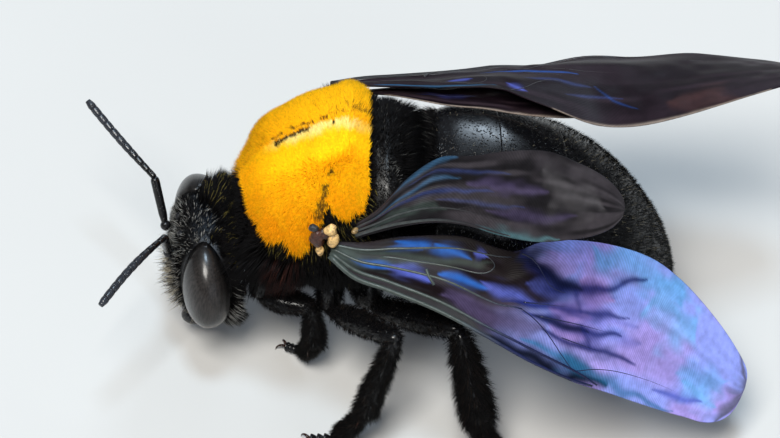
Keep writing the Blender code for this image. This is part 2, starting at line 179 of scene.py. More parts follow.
# share of the span, then outward sweep, droop and roll (trailing edge up) in degrees
WING_POSES = {
    "forewing_left": ((0.00, 14, 11, 41), (0.34, 14, 12, 42), (0.52, -5, 37, 44), (1.00, -7, 40, 42)),
    "forewing_right": (
        (0.00, 1.5, -4.5, 37),
        (0.30, 1.5, -3, 34),
        (0.44, 1.5, -0.5, 22),
        (0.55, 1.5, 0, 12),
        (0.70, 1.5, -1, 17),
        (1.00, 1.5, 4, 34),
    ),
    "hindwing_left": ((0.00, 22, -28, 34), (1.00, 22, -24, 26)),
    "hindwing_right": ((0.00, 4.0, -6, 38), (0.30, 3.5, -4.0, 34), (0.55, 3.5, 3, 23), (1.00, 3.5, 8, 15)),
}
WING_ROOTS = {
    "forewing_left": (4.95, 0.60, 1.45),
    "forewing_right": (-5.00, 0.60, 1.50),
    "hindwing_left": (4.55, 1.70, 2.20),
    "hindwing_right": (-5.05, 1.70, 0.88),
}
TEGULA_MIDDLES = {"left": (4.95, -0.15, 2.20), "right": (-4.98, -0.20, 1.05)}

# Legs: root ahead of the thorax middle, angle round it, lean to the rear, first length,
# and the radius of the solid's thigh, shin and foot
LEGS = {
    "front": dict(root=(2.35, -58), swing=0.0, coxa_length=1.2, femur=0.66, tibia=0.78, tarsus=0.55),
    "middle": dict(root=(-0.55, -60), swing=0.1, coxa_length=1.1, femur=0.68, tibia=0.80, tarsus=0.52),
    "hind": dict(root=(-2.05, -63), swing=0.0, coxa_length=1.2, femur=0.80, tibia=1.05, tarsus=0.62),
}
ROOT_LIFT = 0.40
# Knee, ankle, end of the long first foot joint, and toe, on the floor frame
STANCES = {
    ("front", "left"): ((3.35, 0.25, 4.7), (3.3, 0.7, 2.0), (2.6, 0.3, 0.60), (2.1, -0.4, 0.28)),
    ("front", "right"): ((-5.2, -1.9, 5.3), (-5.1, -3.2, 2.2), (-5.2, -4.0, 0.60), (-5.4, -5.0, 0.28)),
    ("middle", "left"): ((6.7, 3.8, 6.9), (7.6, 2.9, 2.4), (7.6, 1.9, 0.62), (7.5, 0.7, 0.28)),
    ("middle", "right"): ((-6.6, 0.8, 6.6), (-7.5, 1.3, 2.6), (-8.3, 1.1, 0.62), (-9.4, 0.6, 0.28)),
    ("hind", "left"): ((5.7, 6.7, 6.7), (7.7, 8.2, 2.6), (8.4, 9.2, 0.70), (9.2, 10.6, 0.28)),
    ("hind", "right"): ((-5.8, 6.5, 6.4), (-7.6, 8.4, 2.5), (-8.3, 9.6, 0.70), (-9.0, 11.2, 0.28)),
}

# Coat depths, from skin to the solids' surface
TRUNK_COAT = 0.62
HEAD_COAT = 0.16
ABDOMEN_COAT = 0.08
# Radii of the legs' shells, as shares of the radii above
LEG_SHELLS = dict(coxa=0.95, femur=0.85, tibia=0.72, tarsus=0.75)

# Camera: its height and distance from the thorax middle, its lens, and its aim to the right
# of the middle and above it
CAMERA_ELEVATION = math.radians(48.0)
CAMERA_DISTANCE = 200.0
CAMERA_LENS = 203.1
CAMERA_AIM = (3.27, -1.41)


# Numbers


def unit(vectors):
    return vectors / np.maximum(np.linalg.norm(vectors, axis=-1, keepdims=True), 1e-12)


def smooth(low, high, values):
    """0 below low, 1 above high, eased between them."""
    share = np.clip((values - low) / (high - low), 0.0, 1.0)
    return share * share * (3.0 - 2.0 * share)


def table(rows, where):
    """Reads a table at values of its first column, with an eased slope."""
    rows = np.asarray(rows, float)
    rows = rows[np.argsort(rows[:, 0])]
    at, values = rows[:, 0], rows[:, 1:]
    where = np.clip(np.asarray(where, float), at[0], at[-1])
    index = np.clip(np.searchsorted(at, where, side="right") - 1, 0, len(at) - 2)
    before, after = np.maximum(index - 1, 0), np.minimum(index + 2, len(at) - 1)
    step = (at[index + 1] - at[index])[..., None]
    share = (where - at[index])[..., None] / step
    slope_in = (values[index + 1] - values[before]) / (at[index + 1] - at[before])[..., None] * step
    slope_out = (values[after] - values[index]) / (at[after] - at[index])[..., None] * step
    square, cube = share**2, share**3
    return (
        (2 * cube - 3 * square + 1) * values[index]
        + (cube - 2 * square + share) * slope_in
        + (3 * square - 2 * cube) * values[index + 1]
        + (cube - square) * slope_out
    )


def columns(rows, where):
    """The columns of a table at values of its first one."""
    return np.moveaxis(table(rows, where), -1, 0)


def circle(count):
    """Angles spaced evenly all the way round, in radians."""
    return np.arange(count) / count * 2 * math.pi


def beside_line(here, line):
    """For each piece of a line, the share of it passed at its place nearest here, and how far off that is."""
    for start, end in zip(line[:-1], line[1:]):
        along = end - start
        way = np.clip(((here - start) @ along) / (along @ along), 0.0, 1.0)
        yield way, np.linalg.norm(here - start - way[..., None] * along, axis=-1)


LATTICE = np.random.default_rng(11).random((32, 32, 32))


def noise(points, size, seed=0):
    """Smooth noise from -1 to 1 that changes over about size millimetres."""
    place = points / size + seed * np.array([7.31, 3.77, 5.13])
    base = np.floor(place).astype(int)
    part = place - base
    part = part * part * (3.0 - 2.0 * part)
    total = 0.0
    for corner in np.ndindex(2, 2, 2):
        weight = np.where(corner, part, 1.0 - part).prod(-1)
        index = (base + corner) % 32
        total = total + weight * LATTICE[index[..., 0], index[..., 1], index[..., 2]]
    return 2.0 * total - 1.0


def noise_vector(points, size, seed=0):
    return np.stack([noise(points, size, seed + shift) for shift in (0, 11, 23)], -1)


def signed_power(values, power):
    return np.sign(values) * np.abs(values) ** power


def to_world(points):
    return (points @ TILT.T + ORIGIN) * MM


def from_floor(points):
    """Points of the floor frame, whose origin is under the thorax middle, in the body frame."""
    return (np.asarray(points, float) - np.array([0.0, 0.0, ORIGIN[2]])) @ TILT


def blend(first, second, share):
    share = np.asarray(share)[..., None]
    return np.asarray(first) * (1.0 - share) + np.asarray(second) * share


# Meshes


def add_object(name, data):
    made = bpy.data.objects.new(name, data)
    bpy.context.scene.collection.objects.link(made)
    return made


class Shape:
    """Collects the closed patches of one piece, in body millimetres."""

    def __init__(self):
        self.points, self.tints, self.faces, self.places = [], [], [], []
        self.count = 0

    def add(self, points, faces, places, tint=(1.0, 1.0, 1.0)):
        """faces is a list of index arrays, and places their corners' UV arrays."""
        points = points.reshape(-1, 3)
        volume = sum(patch_volume(points, block) for block in faces)
        for block, place in zip(faces, places):
            block = block + self.count
            if volume < 0:
                block, place = block[:, ::-1], place[:, ::-1]
            self.faces.append(block)
            self.places.append(place)
        self.points.append(points)
        self.tints.append(np.broadcast_to(np.asarray(tint, float).reshape(-1, 3), points.shape))
        self.count += len(points)

    def build(self, name, material, slot, replaces=(), uv_name="surface"):
        points = to_world(np.concatenate(self.points))
        mesh = bpy.data.meshes.new(name)
        mesh.vertices.add(len(points))
        mesh.vertices.foreach_set("co", points.astype(np.float32).ravel())
        sizes = np.concatenate([np.full(len(block), block.shape[1]) for block in self.faces])
        corners = np.concatenate([block.ravel() for block in self.faces])
        mesh.loops.add(len(corners))
        mesh.loops.foreach_set("vertex_index", corners.astype(np.int32))
        mesh.polygons.add(len(sizes))
        starts = np.concatenate([[0], np.cumsum(sizes)[:-1]])
        mesh.polygons.foreach_set("loop_start", starts.astype(np.int32))
        layer = mesh.uv_layers.new(name=uv_name)
        places = np.concatenate([place.reshape(-1, 2) for place in self.places])
        layer.uv.foreach_set("vector", places.astype(np.float32).ravel())
        tint = mesh.attributes.new("tint", "FLOAT_COLOR", "POINT")
        colours = np.ones((len(points), 4), np.float32)
        colours[:, :3] = np.concatenate(self.tints)
        tint.data.foreach_set("color", colours.ravel())
        mesh.update(calc_edges=True)
        mesh.validate()
        mesh.shade_smooth()
        mesh.materials.append(material)
        piece = add_object(name, mesh)
        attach(piece, "root")
        if replaces:
            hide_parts(*replaces)


def patch_volume(points, block):
    """Six times the signed volume between a block of faces and the origin."""
    corner = points[block]
    total = 0.0
    for index in range(1, block.shape[1] - 1):
        triple = np.cross(corner[:, index], corner[:, index + 1])
        total += (corner[:, 0] * triple).sum()
    return total


def grid_faces(rows, cols, wrap=True):
    """Quads of a grid of points, and their corners' places on the unit square."""
    row, col = np.meshgrid(np.arange(rows - 1), np.arange(cols - (not wrap)), indexing="ij")
    across, along = cols - (not wrap), rows - 1
    corners = ((0, 0), (0, 1), (1, 1), (1, 0))
    quads = np.stack([(row + down) * cols + (col + right) % cols for down, right in corners], -1)
    places = [np.stack([(col + right) / across, (row + down) / along], -1) for down, right in corners]
    places = np.stack(places, -2)
    return quads.reshape(-1, 4), places.reshape(-1, 4, 2)


def add_tube(shape, grid, tint=(1.0, 1.0, 1.0)):
    """Adds a grid that closes round its columns, with a fan over its first and last rows."""
    rows, cols = grid.shape[:2]
    quads, places = grid_faces(rows, cols)
    ends = np.stack([grid[0].mean(0), grid[-1].mean(0)])
    points = np.concatenate([grid.reshape(-1, 3), ends])
    col = np.arange(cols)
    beside = (col + 1) % cols
    near = np.stack([beside, col, np.full(cols, rows * cols)], -1)
    far_row = (rows - 1) * cols
    far = np.stack([far_row + col, far_row + beside, np.full(cols, rows * cols + 1)], -1)
    fan_places = []
    for level, turn in ((0.0, -0.5), (1.0, 0.5)):
        corners = [(col + 0.5 + step) / cols for step in (-turn, turn, 0.0)]
        fan_places.append(np.stack([np.stack([at, np.full(cols, level)], -1) for at in corners], -2))
    tint = np.asarray(tint, float)
    if tint.ndim == 3:
        caps = np.stack([tint[0].mean(0), tint[-1].mean(0)])
        tint = np.concatenate([tint.reshape(-1, 3), caps])
    shape.add(points, [quads, near, far], [places, *fan_places], tint)


def add_sheet(shape, grid, thickness, tint=(1.0, 1.0, 1.0)):
    """Adds a thin closed sheet round an open grid of points."""
    rows, cols = grid.shape[:2]
    across, along = np.gradient(grid, axis=1), np.gradient(grid, axis=0)
    normal = unit(np.cross(along, across))
    top, bottom = grid + normal * thickness / 2, grid - normal * thickness / 2
    quads, places = grid_faces(rows, cols, wrap=False)
    index = np.arange(rows * cols).reshape(rows, cols)
    edge = np.concatenate([index[0, :-1], index[:-1, -1], index[-1, :0:-1], index[:0:-1, 0]])
    beside = np.roll(edge, -1)
    under = rows * cols
    rim = np.stack([edge, edge + under, beside + under, beside], -1)
    grid_place = np.stack(np.meshgrid(np.arange(cols) / (cols - 1), np.arange(rows) / (rows - 1)), -1)
    flat = grid_place.reshape(-1, 2)
    rim_place = np.stack([flat[edge], flat[edge], flat[beside], flat[beside]], -2)
    points = np.concatenate([top.reshape(-1, 3), bottom.reshape(-1, 3)])
    tint = np.asarray(tint, float)
    if tint.ndim == 3:
        tint = np.concatenate([tint.reshape(-1, 3)] * 2)
    shape.add(points, [quads, quads[:, ::-1] + under, rim], [places, places[:, ::-1], rim_place], tint)


def frames_along(path):
    """Unit vectors along and across a path, turning as little as they can."""
    along = unit(np.gradient(path, axis=0))
    helper = np.array([0.0, 0.0, 1.0]) if abs(along[0][2]) < 0.8 else np.array([0.0, 1.0, 0.0])
    side = unit(np.cross(along[0], helper))
    sides = []
    for direction in along:
        side = unit(side - direction * (side @ direction))
        sides.append(side)
    sides = np.array(sides)
    return along, sides, np.cross(sides, along)


def tube_grid(path, radii, cols, flatten=1.0):
    """Rings of points round a path; flatten squeezes them across their side vector."""
    _, side, up = frames_along(path)
    angle = circle(cols)
    radii = np.asarray(radii, float)[:, None, None]
    ring = side[:, None] * np.cos(angle)[None, :, None] + up[:, None] * np.sin(angle)[None, :, None] * flatten
    return path[:, None] + ring * radii


def curve(points, count):
    """A smooth path through a few points."""
    points = np.asarray(points, float)
    keys = np.linspace(0.0, 1.0, len(points))
    return table(np.column_stack([keys, points]), np.linspace(0.0, 1.0, count))


# Hair


def outward_normals(grid):
    """Normals of a grid that closes round its columns."""
    across = np.roll(grid, -1, 1) - np.roll(grid, 1, 1)
    along = np.gradient(grid, axis=0)
    normal = unit(np.cross(along, across))
    outward = grid - grid.mean(1, keepdims=True)
    return normal * (1.0 if (normal * outward).sum() > 0 else -1.0)


def scatter(grid, weight, count, rng):
    """Random places on a closed grid, as many per area as weight asks for."""
    rows, cols = grid.shape[:2]
    normals = outward_normals(grid)
    wide = np.concatenate([grid, grid[:, :1]], 1)
    wide_normals = np.concatenate([normals, normals[:, :1]], 1)
    weight = np.concatenate([weight, weight[:, :1]], 1)
    across, along = wide[:-1, 1:] - wide[:-1, :-1], wide[1:, :-1] - wide[:-1, :-1]
    area = np.linalg.norm(np.cross(across, along), axis=-1)
    quad_weight = (weight[:-1, :-1] + weight[1:, 1:] + weight[:-1, 1:] + weight[1:, :-1]) / 4
    chance = np.cumsum((area * quad_weight).ravel())
    pick = np.searchsorted(chance, rng.random(count) * chance[-1])
    row, col = np.unravel_index(np.minimum(pick, chance.size - 1), area.shape)
    part_a, part_b = rng.random(count)[:, None], rng.random(count)[:, None]

    def between(values):
        near = values[row, col] * (1 - part_a) + values[row, col + 1] * part_a
        far = values[row + 1, col] * (1 - part_a) + values[row + 1, col + 1] * part_a
        return near * (1 - part_b) + far * part_b

    normal = unit(between(wide_normals))
    rear = wide[row + 1, col] - wide[row, col]
    rear = unit(rear - normal * (rear * normal).sum(-1, keepdims=True))
    return SimpleNamespace(
        point=between(wide),
        normal=normal,
        rear=rear,
        around=np.cross(normal, rear),
        u=(col + part_a[:, 0]) / cols,
        v=(row + part_b[:, 0]) / (rows - 1),
    )


# Keeps a weight above zero where no hair is wanted
SLIVER = 1e-9
HAIR_ROOT_DEPTH = 0.06
HAIR_RADII = {
    "near": 0.024,
    "far": 0.030,
    "dark": 0.022,
    "propodeum": 0.018,
    "down": 0.012,
    "sides": 0.015,
    "brush": 0.016,
    "tail": 0.016,
    "face": 0.010,
    "fringe": 0.021,
    "head": 0.016,
    "leg": 0.017,
}
# A bent hair's radius at its waist, as a share of its root's, and how far its tint is the tip's there
WAIST_RADIUS = 0.72
WAIST_TINT = 0.55
# Side of the patch of a coat's map that one hair takes, and the corners and faces of both kinds
TUFT_PATCH = 0.003
HAIR_QUADS = np.array([[0, 1, 4, 3], [1, 2, 5, 4], [2, 0, 3, 5]])
HAIR_TRIANGLES = np.array([[0, 2, 1], [3, 4, 6], [4, 5, 6], [5, 3, 6]])
HAIR_PLACES = np.array([[0, 0], [0.5, 0], [1, 0], [0, 0.5], [0.5, 0.5], [1, 0.5], [0.5, 1]]) * TUFT_PATCH
SPIKE_TRIANGLES = np.array([[0, 2, 1], [0, 1, 3], [1, 2, 3], [2, 0, 3]])
SPIKE_PLACES = np.array([[0, 0], [0.5, 0], [1, 0], [0.5, 1]]) * TUFT_PATCH


def spokes(roots, along):
    """Three directions square to each hair, a third of a turn apart."""
    side = unit(np.cross(along, roots.rear) + 1e-6)
    up = np.cross(along, side)
    turns = 2 * math.pi * np.arange(3) / 3
    return [side * math.cos(turn) + up * math.sin(turn) for turn in turns]


def add_blades(shape, roots, points, tint, places, *blocks):
    """Adds hairs of the same corners and faces, each one's map a small patch at its root's place."""
    first = np.arange(len(points))[:, None, None] * points.shape[1]
    faces = [(block[None] + first).reshape(-1, block.shape[1]) for block in blocks]
    spot = np.stack([roots.u, roots.v], -1) * (1.0 - TUFT_PATCH)
    flat = (spot[:, None] + places[None]).reshape(-1, 2)
    shape.add(points, faces, [flat[block] for block in faces], tint.reshape(-1, 3))


def add_hairs(shape, roots, start, end, length, radius, root_tint, tip_tint):
    """Adds closed hairs that leave their roots along start and bend towards end."""
    count = len(roots.point)
    start, end = unit(start), unit(end)
    length, radius = np.broadcast_to(length, count)[:, None], np.broadcast_to(radius, count)[:, None]
    base = roots.point - roots.normal * HAIR_ROOT_DEPTH
    waist = roots.point + start * length * 0.5
    points = np.empty((count, 7, 3))
    for corner, spoke in enumerate(spokes(roots, start)):
        points[:, corner] = base + spoke * radius
        points[:, corner + 3] = waist + spoke * radius * WAIST_RADIUS
    points[:, 6] = waist + unit(start + end) * length * 0.5
    root_tint, tip_tint = np.broadcast_to(root_tint, (count, 3)), np.broadcast_to(tip_tint, (count, 3))
    tint = np.empty((count, 7, 3))
    tint[:, :3] = root_tint[:, None]
    tint[:, 3:6] = (root_tint * (1.0 - WAIST_TINT) + tip_tint * WAIST_TINT)[:, None]
    tint[:, 6] = tip_tint
    add_blades(shape, roots, points, tint, HAIR_PLACES, HAIR_QUADS, HAIR_TRIANGLES)


def add_spikes(shape, roots, lean, length, radius, root_tint, tip_tint):
    """Adds short straight closed hairs, one slim pyramid each."""
    count = len(roots.point)
    lean = unit(lean)
    length, radius = np.broadcast_to(length, count)[:, None], np.broadcast_to(radius, count)[:, None]
    base = roots.point - roots.normal * HAIR_ROOT_DEPTH
    points = np.empty((count, 4, 3))
    for corner, spoke in enumerate(spokes(roots, lean)):
        points[:, corner] = base + spoke * radius
    points[:, 3] = roots.point + lean * length
    tint = np.empty((count, 4, 3))
    tint[:, :3] = np.broadcast_to(root_tint, (count, 3))[:, None]
    tint[:, 3] = tip_tint
    add_blades(shape, roots, points, tint, SPIKE_PLACES, SPIKE_TRIANGLES)


# Materials


def principled(name, roughness, **settings):
    """A material with its node tree and shader; settings are the shader's inputs, _ for a space."""
    made = bpy.data.materials.new(name)
    made.use_nodes = True
    shader = made.node_tree.nodes["Principled BSDF"]
    shader.inputs["Roughness"].default_value = roughness
    for key, value in settings.items():
        shader.inputs[key.replace("_", " ")].default_value = value
    return made, made.node_tree, shader


def node(tree, kind, **values):
    """A new node; values are its own settings or, by name, its inputs."""
    made = tree.nodes.new(kind)
    for key, value in values.items():
        if hasattr(made, key):
            setattr(made, key, value)
        else:
            made.inputs[key.replace("_", " ")].default_value = value
    return made


def tint_of(tree):
    return node(tree, "ShaderNodeAttribute", attribute_name="tint").outputs["Color"]


def object_place(tree, stretch=(1.0, 1.0, 1.0)):
    place = node(tree, "ShaderNodeTexCoord").outputs["Object"]
    mapping = node(tree, "ShaderNodeMapping")
    mapping.inputs["Scale"].default_value = stretch
    tree.links.new(place, mapping.inputs["Vector"])
    return mapping.outputs["Vector"]


def noise_texture(tree, vector, size_mm, detail=3.0):
    texture = node(tree, "ShaderNodeTexNoise", Scale=1.0 / (size_mm * MM), Detail=detail)
    tree.links.new(vector, texture.inputs["Vector"])
    return texture.outputs["Fac"]


def cells(tree, vector, size_mm):
    texture = node(tree, "ShaderNodeTexVoronoi", Scale=1.0 / (size_mm * MM))
    tree.links.new(vector, texture.inputs["Vector"])
    return texture.outputs["Distance"]


def map_range(tree, value, low, high, to_low, to_high):
    made = node(tree, "ShaderNodeMapRange")
    tree.links.new(value, made.inputs["Value"])
    for key, number in (("From Min", low), ("From Max", high), ("To Min", to_low), ("To Max", to_high)):
        made.inputs[key].default_value = number
    return made.outputs["Result"]


def multiply_colour(tree, colour, value):
    """The colour times a grey value."""
    made = node(tree, "ShaderNodeMix", data_type="RGBA", blend_type="MULTIPLY")
    made.inputs["Factor"].default_value = 1.0
    tree.links.new(colour, made.inputs["A"])
    tree.links.new(value, made.inputs["B"])
    return made.outputs["Result"]


def paint(tree, shader, colour, *shades):
    """Gives the shader a colour times any number of grey values."""
    for shade in shades:
        colour = multiply_colour(tree, colour, shade)
    tree.links.new(colour, shader.inputs["Base Color"])


def add_bump(tree, shader, height, distance_mm, strength=1.0):
    bump = node(tree, "ShaderNodeBump", Strength=strength, Distance=distance_mm * MM)
    tree.links.new(height, bump.inputs["Height"])
    tree.links.new(bump.outputs["Normal"], shader.inputs["Normal"])


def cuticle_material(name, roughness, pit_mm, depth_mm):
    """Glossy insect shell with fine pits and slightly uneven gloss."""
    made, tree, shader = principled(name, roughness, Specular_IOR_Level=0.34)
    place = object_place(tree)
    speckle = map_range(tree, noise_texture(tree, place, 0.25), 0.3, 0.7, 0.75, 1.25)
    paint(tree, shader, tint_of(tree), speckle)
    gloss = map_range(tree, noise_texture(tree, place, 0.6), 0.3, 0.7, roughness * 0.75, roughness * 1.35)
    tree.links.new(gloss, shader.inputs["Roughness"])
    pits = map_range(tree, cells(tree, place, pit_mm), 0.0, 0.35, 0.0, 1.0)
    add_bump(tree, shader, pits, depth_mm)
    return made


def sclerite_material():
    """Waxy, mottled plates at the wing bases."""
    made, tree, shader = principled("sclerite", 0.30, Specular_IOR_Level=0.5)
    place = object_place(tree)
    mottled = map_range(tree, noise_texture(tree, place, 0.16, 4.0), 0.35, 0.62, 0.35, 1.15)
    paint(tree, shader, tint_of(tree), mottled)
    add_bump(tree, shader, noise_texture(tree, place, 0.10), 0.06)
    return made


def hair_material(name, roughness, specular):
    """Hair: its tint, streaked a little along each tuft."""
    made, tree, shader = principled(name, roughness, Specular_IOR_Level=specular)
    speckle = map_range(tree, noise_texture(tree, object_place(tree), 0.12), 0.3, 0.7, 0.74, 1.20)
    paint(tree, shader, tint_of(tree), speckle)
    return made


def eye_material():
    """Compound eye: thousands of tiny facets, faintly streaked from top to bottom."""
    made, tree, shader = principled("compound_eye", 0.50, Specular_IOR_Level=0.12)
    shader.inputs["Coat Weight"].default_value = 0.85
    shader.inputs["Coat Roughness"].default_value = 0.21
    shader.inputs["Coat IOR"].default_value = 1.35
    streaks = noise_texture(tree, object_place(tree, (1.0, 1.0, 0.12)), 0.08, 2.0)
    shade = map_range(tree, streaks, 0.35, 0.65, 0.5, 1.5)
    paint(tree, shader, tint_of(tree), shade)
    facets = map_range(tree, cells(tree, object_place(tree), 0.035), 0.0, 0.6, 1.0, 0.0)
    add_bump(tree, shader, facets, 0.005)
    return made


RIPPLE_MM = 0.13
RIPPLE_BEND_MM = 2.4


def membrane_material(name, span_mm, chord_mm):
    """Wing membrane with fine ripples like a fingerprint, laid out on the wing's own plane."""
    made, tree, shader = principled(name, 0.42, Specular_IOR_Level=0.07)
    surface = node(tree, "ShaderNodeUVMap", uv_map="surface").outputs["UV"]
    plane = node(tree, "ShaderNodeMapping")
    plane.inputs["Scale"].default_value = (chord_mm * MM, span_mm * MM, 0.0)
    tree.links.new(surface, plane.inputs["Vector"])
    scale = 2 * math.pi / (10 * RIPPLE_MM * MM)
    wave = node(tree, "ShaderNodeTexWave", wave_type="BANDS", bands_direction="DIAGONAL")
    wave.inputs["Scale"].default_value = scale
    wave.inputs["Distortion"].default_value = 30.0
    wave.inputs["Detail"].default_value = 0.0
    wave.inputs["Detail Scale"].default_value = 1.0 / (scale * RIPPLE_BEND_MM * MM)
    tree.links.new(plane.outputs["Vector"], wave.inputs["Vector"])
    fine = map_range(tree, noise_texture(tree, object_place(tree), 0.35, 4.0), 0.3, 0.7, 0.84, 1.14)
    ripple = map_range(tree, wave.outputs["Fac"], 0.0, 1.0, 0.84, 1.06)
    paint(tree, shader, tint_of(tree), fine, ripple)
    add_bump(tree, shader, wave.outputs["Fac"], 0.006, 0.5)
    return made


def floor_material():
    made, tree, shader = principled("floor", 0.85, Specular_IOR_Level=0.1)
    shade = map_range(tree, noise_texture(tree, object_place(tree), 25.0), 0.3, 0.7, 0.97, 1.0)
    colour = node(tree, "ShaderNodeRGB")
    colour.outputs["Color"].default_value = (0.53, 0.525, 0.515, 1.0)
    paint(tree, shader, colour.outputs["Color"], shade)
    return made


# Colours
BLACK = np.array([0.0030, 0.0030, 0.0036])
BLACK_HAIR = np.array([0.0042, 0.0038, 0.0040])
GREY_HAIR = np.array([0.42, 0.41, 0.38])
CREAM_HAIR = np.array([0.60, 0.52, 0.36])
BROWN_HAIR = np.array([0.060, 0.040, 0.028])
CHEST_BROWN = np.array([0.050, 0.014, 0.010])
STRAW_HAIR = np.array([0.62, 0.50, 0.12])
ORANGE_ROOT = np.array([0.60, 0.19, 0.001])
DEEP_ORANGE = np.array([0.88, 0.32, 0.001])
ORANGE = np.array([1.00, 0.43, 0.001])
YELLOW = np.array([1.00, 0.565, 0.002])
PALE_TIP = np.array([1.00, 0.84, 0.34])
# Painted shadow in gaps of the coat: the parting, and dark specks in the stubble beyond it
COAT_GAP_SHADE = np.array([0.020, 0.010, 0.003])
# Brown painted shade in the hollow above the wing base
HOLLOW_SHADE = np.array([0.10, 0.040, 0.008])
EYE_BROWN = np.array([0.0135, 0.0110, 0.0100])
CREAM = np.array([0.74, 0.47, 0.18])
RED_BROWN = np.array([0.050, 0.012, 0.004])
SLATE = np.array([0.020, 0.022, 0.024])
FEELER_GREY = np.array([0.020, 0.022, 0.028])
# Bluish reflection of the sky, painted on the top of the head
HEAD_SHEEN = np.array([0.006, 0.011, 0.019])


# Trunk


def trunk_angles(ahead, angle, power=TRUNK_POWER):
    """Points round the trunk's solids; angle 0 is its left and 90 degrees its back."""
    half_width, half_height, height = columns(TRUNK_SECTIONS, ahead)
    across = signed_power(np.cos(angle), 2 / power) * half_width
    rise = signed_power(np.sin(angle), 2 / power) * half_height
    return np.stack([across, -ahead + 0 * angle, height + rise], -1)


# How high round the trunk the yellow coat starts, in degrees, by distance behind the middle
YELLOW_EDGE = (
    (-3.90, 66),
    (-3.30, 53),
    (-2.55, 27),
    (-1.55, 18),
    (-1.05, 12),
    (-0.50, 20),
    (-0.05, 32),
    (0.25, 43),
    (0.50, 42),
    (0.75, 35),
    (1.00, 33),
    (1.40, 30),
    (1.90, 35),
    (2.36, 49),
    (2.60, 62),
)
YELLOW_FRONT = ((0.0, 3.15), (60.0, 3.40), (90.0, 3.56), (120.0, 3.66), (180.0, 3.70))
YELLOW_REAR = 2.42
# The coat's thickness, the parting on the back by distance behind the middle and degrees
# round the outside of the coat, painted as shadow, and the hollow above the wing base, painted as shade
COAT_DEPTH = 0.5
PARTING_LINE = (
    (-2.50, 94.5),
    (-1.90, 95.8),
    (-1.45, 97.6),
    (-0.80, 96.4),
    (0.45, 96.0),
    (1.10, 95.4),
    (1.50, 96.0),
    (2.00, 98.5),
    (2.50, 101.5),
)
PARTING_GAPS = ((-1.95, 87.5), (-1.27, 89.6), (-0.30, 89.8))
# Degrees round the trunk: the near side's coat runs up from the belly to the far side's
NEAR_LIMIT = 86.0
NEAR_START = 300.0
FAR_END = 250.0
# Distances ahead of the middle: where the near side is cut in two, and where black hair ends
NEAR_SPLIT = 0.2
DARK_REAR = -2.7
# One nick of painted shadow in the parting, and the row of painted shadow dots above it
NICK_BEHIND = 0.68
NICK_DEGREES = 88.4
DOTS_DEGREES = 97.0
# The hollow over the wing base, darkened with painted shade: its line and one spot, by distance behind the
# middle and degrees
HOLLOW = ((0.34, 47.5), (0.22, 42.0), (0.12, 33.0))
HOLLOW_SPOT = (0.58, 56.0)


def coat_degrees(places):
    """Degrees round the trunk of places on the outside of the coat."""
    half_width, half_height, height = columns(TRUNK_SECTIONS, -places[..., 1])
    across = places[..., 0] / (half_width + COAT_DEPTH)
    rise = (places[..., 2] - height) / (half_height + COAT_DEPTH)
    return np.degrees(np.arctan2(rise, across))


def hair_ends(roots, lean, length):
    """Where hairs that point along lean end."""
    return roots.point + unit(lean) * np.asarray(length)[:, None]


def parting_shade_share(ends):
    """How much painted shadow a hair takes that ends here: a thin broken line, ragged gaps below it, and one
    nick.
    """
    behind = ends[:, 1]
    degrees = coat_degrees(ends)
    line = np.abs(degrees - table(PARTING_LINE, behind)[..., 0] - 0.8 * noise(ends, 0.35, 9))
    broken = smooth(-0.30, 0.15, noise(ends, 0.20, 15))
    broken = broken * smooth(-2.55, -2.2, behind) * smooth(2.6, 2.3, behind)
    gap = degrees - table(PARTING_GAPS, behind)[..., 0]
    ragged = 1.9 + 1.5 * noise(ends, 0.16, 17) + 1.0 * noise(ends, 0.5, 19)
    reach = smooth(-2.1, -1.9, behind) * smooth(-0.25, -0.5, behind)
    wide = smooth(0.5, -0.3, np.abs(gap) - ragged) * reach
    nick = smooth(0.09, 0.04, np.abs(behind - NICK_BEHIND)) * smooth(2.6, 1.4, np.abs(degrees - NICK_DEGREES))
    above = degrees - DOTS_DEGREES
    dots = smooth(0.30, 0.45, noise(ends, 0.09, 21)) * smooth(0.2, 0.8, behind)
    dots = dots * smooth(9.0, 5.0, above) * smooth(-1.0, 1.0, above)
    return np.clip(smooth(1.5, 0.7, line) * broken + wide + nick + 0.8 * dots, 0.0, 1.0)


def hollow_shade_share(ends):
    """How much brown painted shade a hair takes that ends here, by its distance from the hollow over the wing
    base.
    """
    scale = np.array([1.0, math.radians(4.6)])
    here = np.stack([ends[:, 1], coat_degrees(ends)], -1) * scale
    line = np.array(HOLLOW) * scale
    nearest = np.linalg.norm(here - np.array(HOLLOW_SPOT) * scale, axis=-1)
    for _, away in beside_line(here, line):
        nearest = np.minimum(nearest, away - 0.10 * smooth(line[0][1], line[-1][1], here[:, 1]))
    return smooth(0.20, 0.04, nearest + 0.14 * noise(ends, 0.15, 23))


def yellow_share(ahead, angle, point):
    """How far a place of the trunk belongs to the yellow coat, from 0 to 1."""
    rise = np.degrees(np.arctan2(np.sin(angle), np.abs(np.cos(angle))))
    edge = table(YELLOW_EDGE, -ahead)[..., 0] + 4.0 * noise(point, 0.40, 3)
    rear = smooth(0.0, 0.10, ahead + YELLOW_REAR + 0.03 * noise(point, 0.3, 5))
    limit = table(YELLOW_FRONT, np.degrees(angle) % 360.0)[..., 0]
    front = smooth(0.0, 0.15, limit - ahead + 0.10 * noise(point, 0.4, 7))
    return smooth(-3.0, 3.0, rise - edge) * rear * front


def trunk_grid(rows=96, cols=144):
    front, rear = TRUNK_SECTIONS[0][0], TRUNK_SECTIONS[-1][0]
    share = np.linspace(0.0, 1.0, rows)
    ahead = front + (rear - front) * (share * 0.55 + (1 - np.cos(share * math.pi)) / 2 * 0.45)
    angle = circle(cols)
    ahead, angle = np.meshgrid(ahead, angle, indexing="ij")
    hull = trunk_angles(ahead, angle)
    depth = TRUNK_COAT * smooth(3.9, 3.3, ahead) * 0.7 + TRUNK_COAT * 0.3
    depth = depth * blend([1.0], [0.45], smooth(-2.6, -3.4, ahead))[..., 0]
    return hull - outward_normals(hull) * depth[..., None], ahead, angle


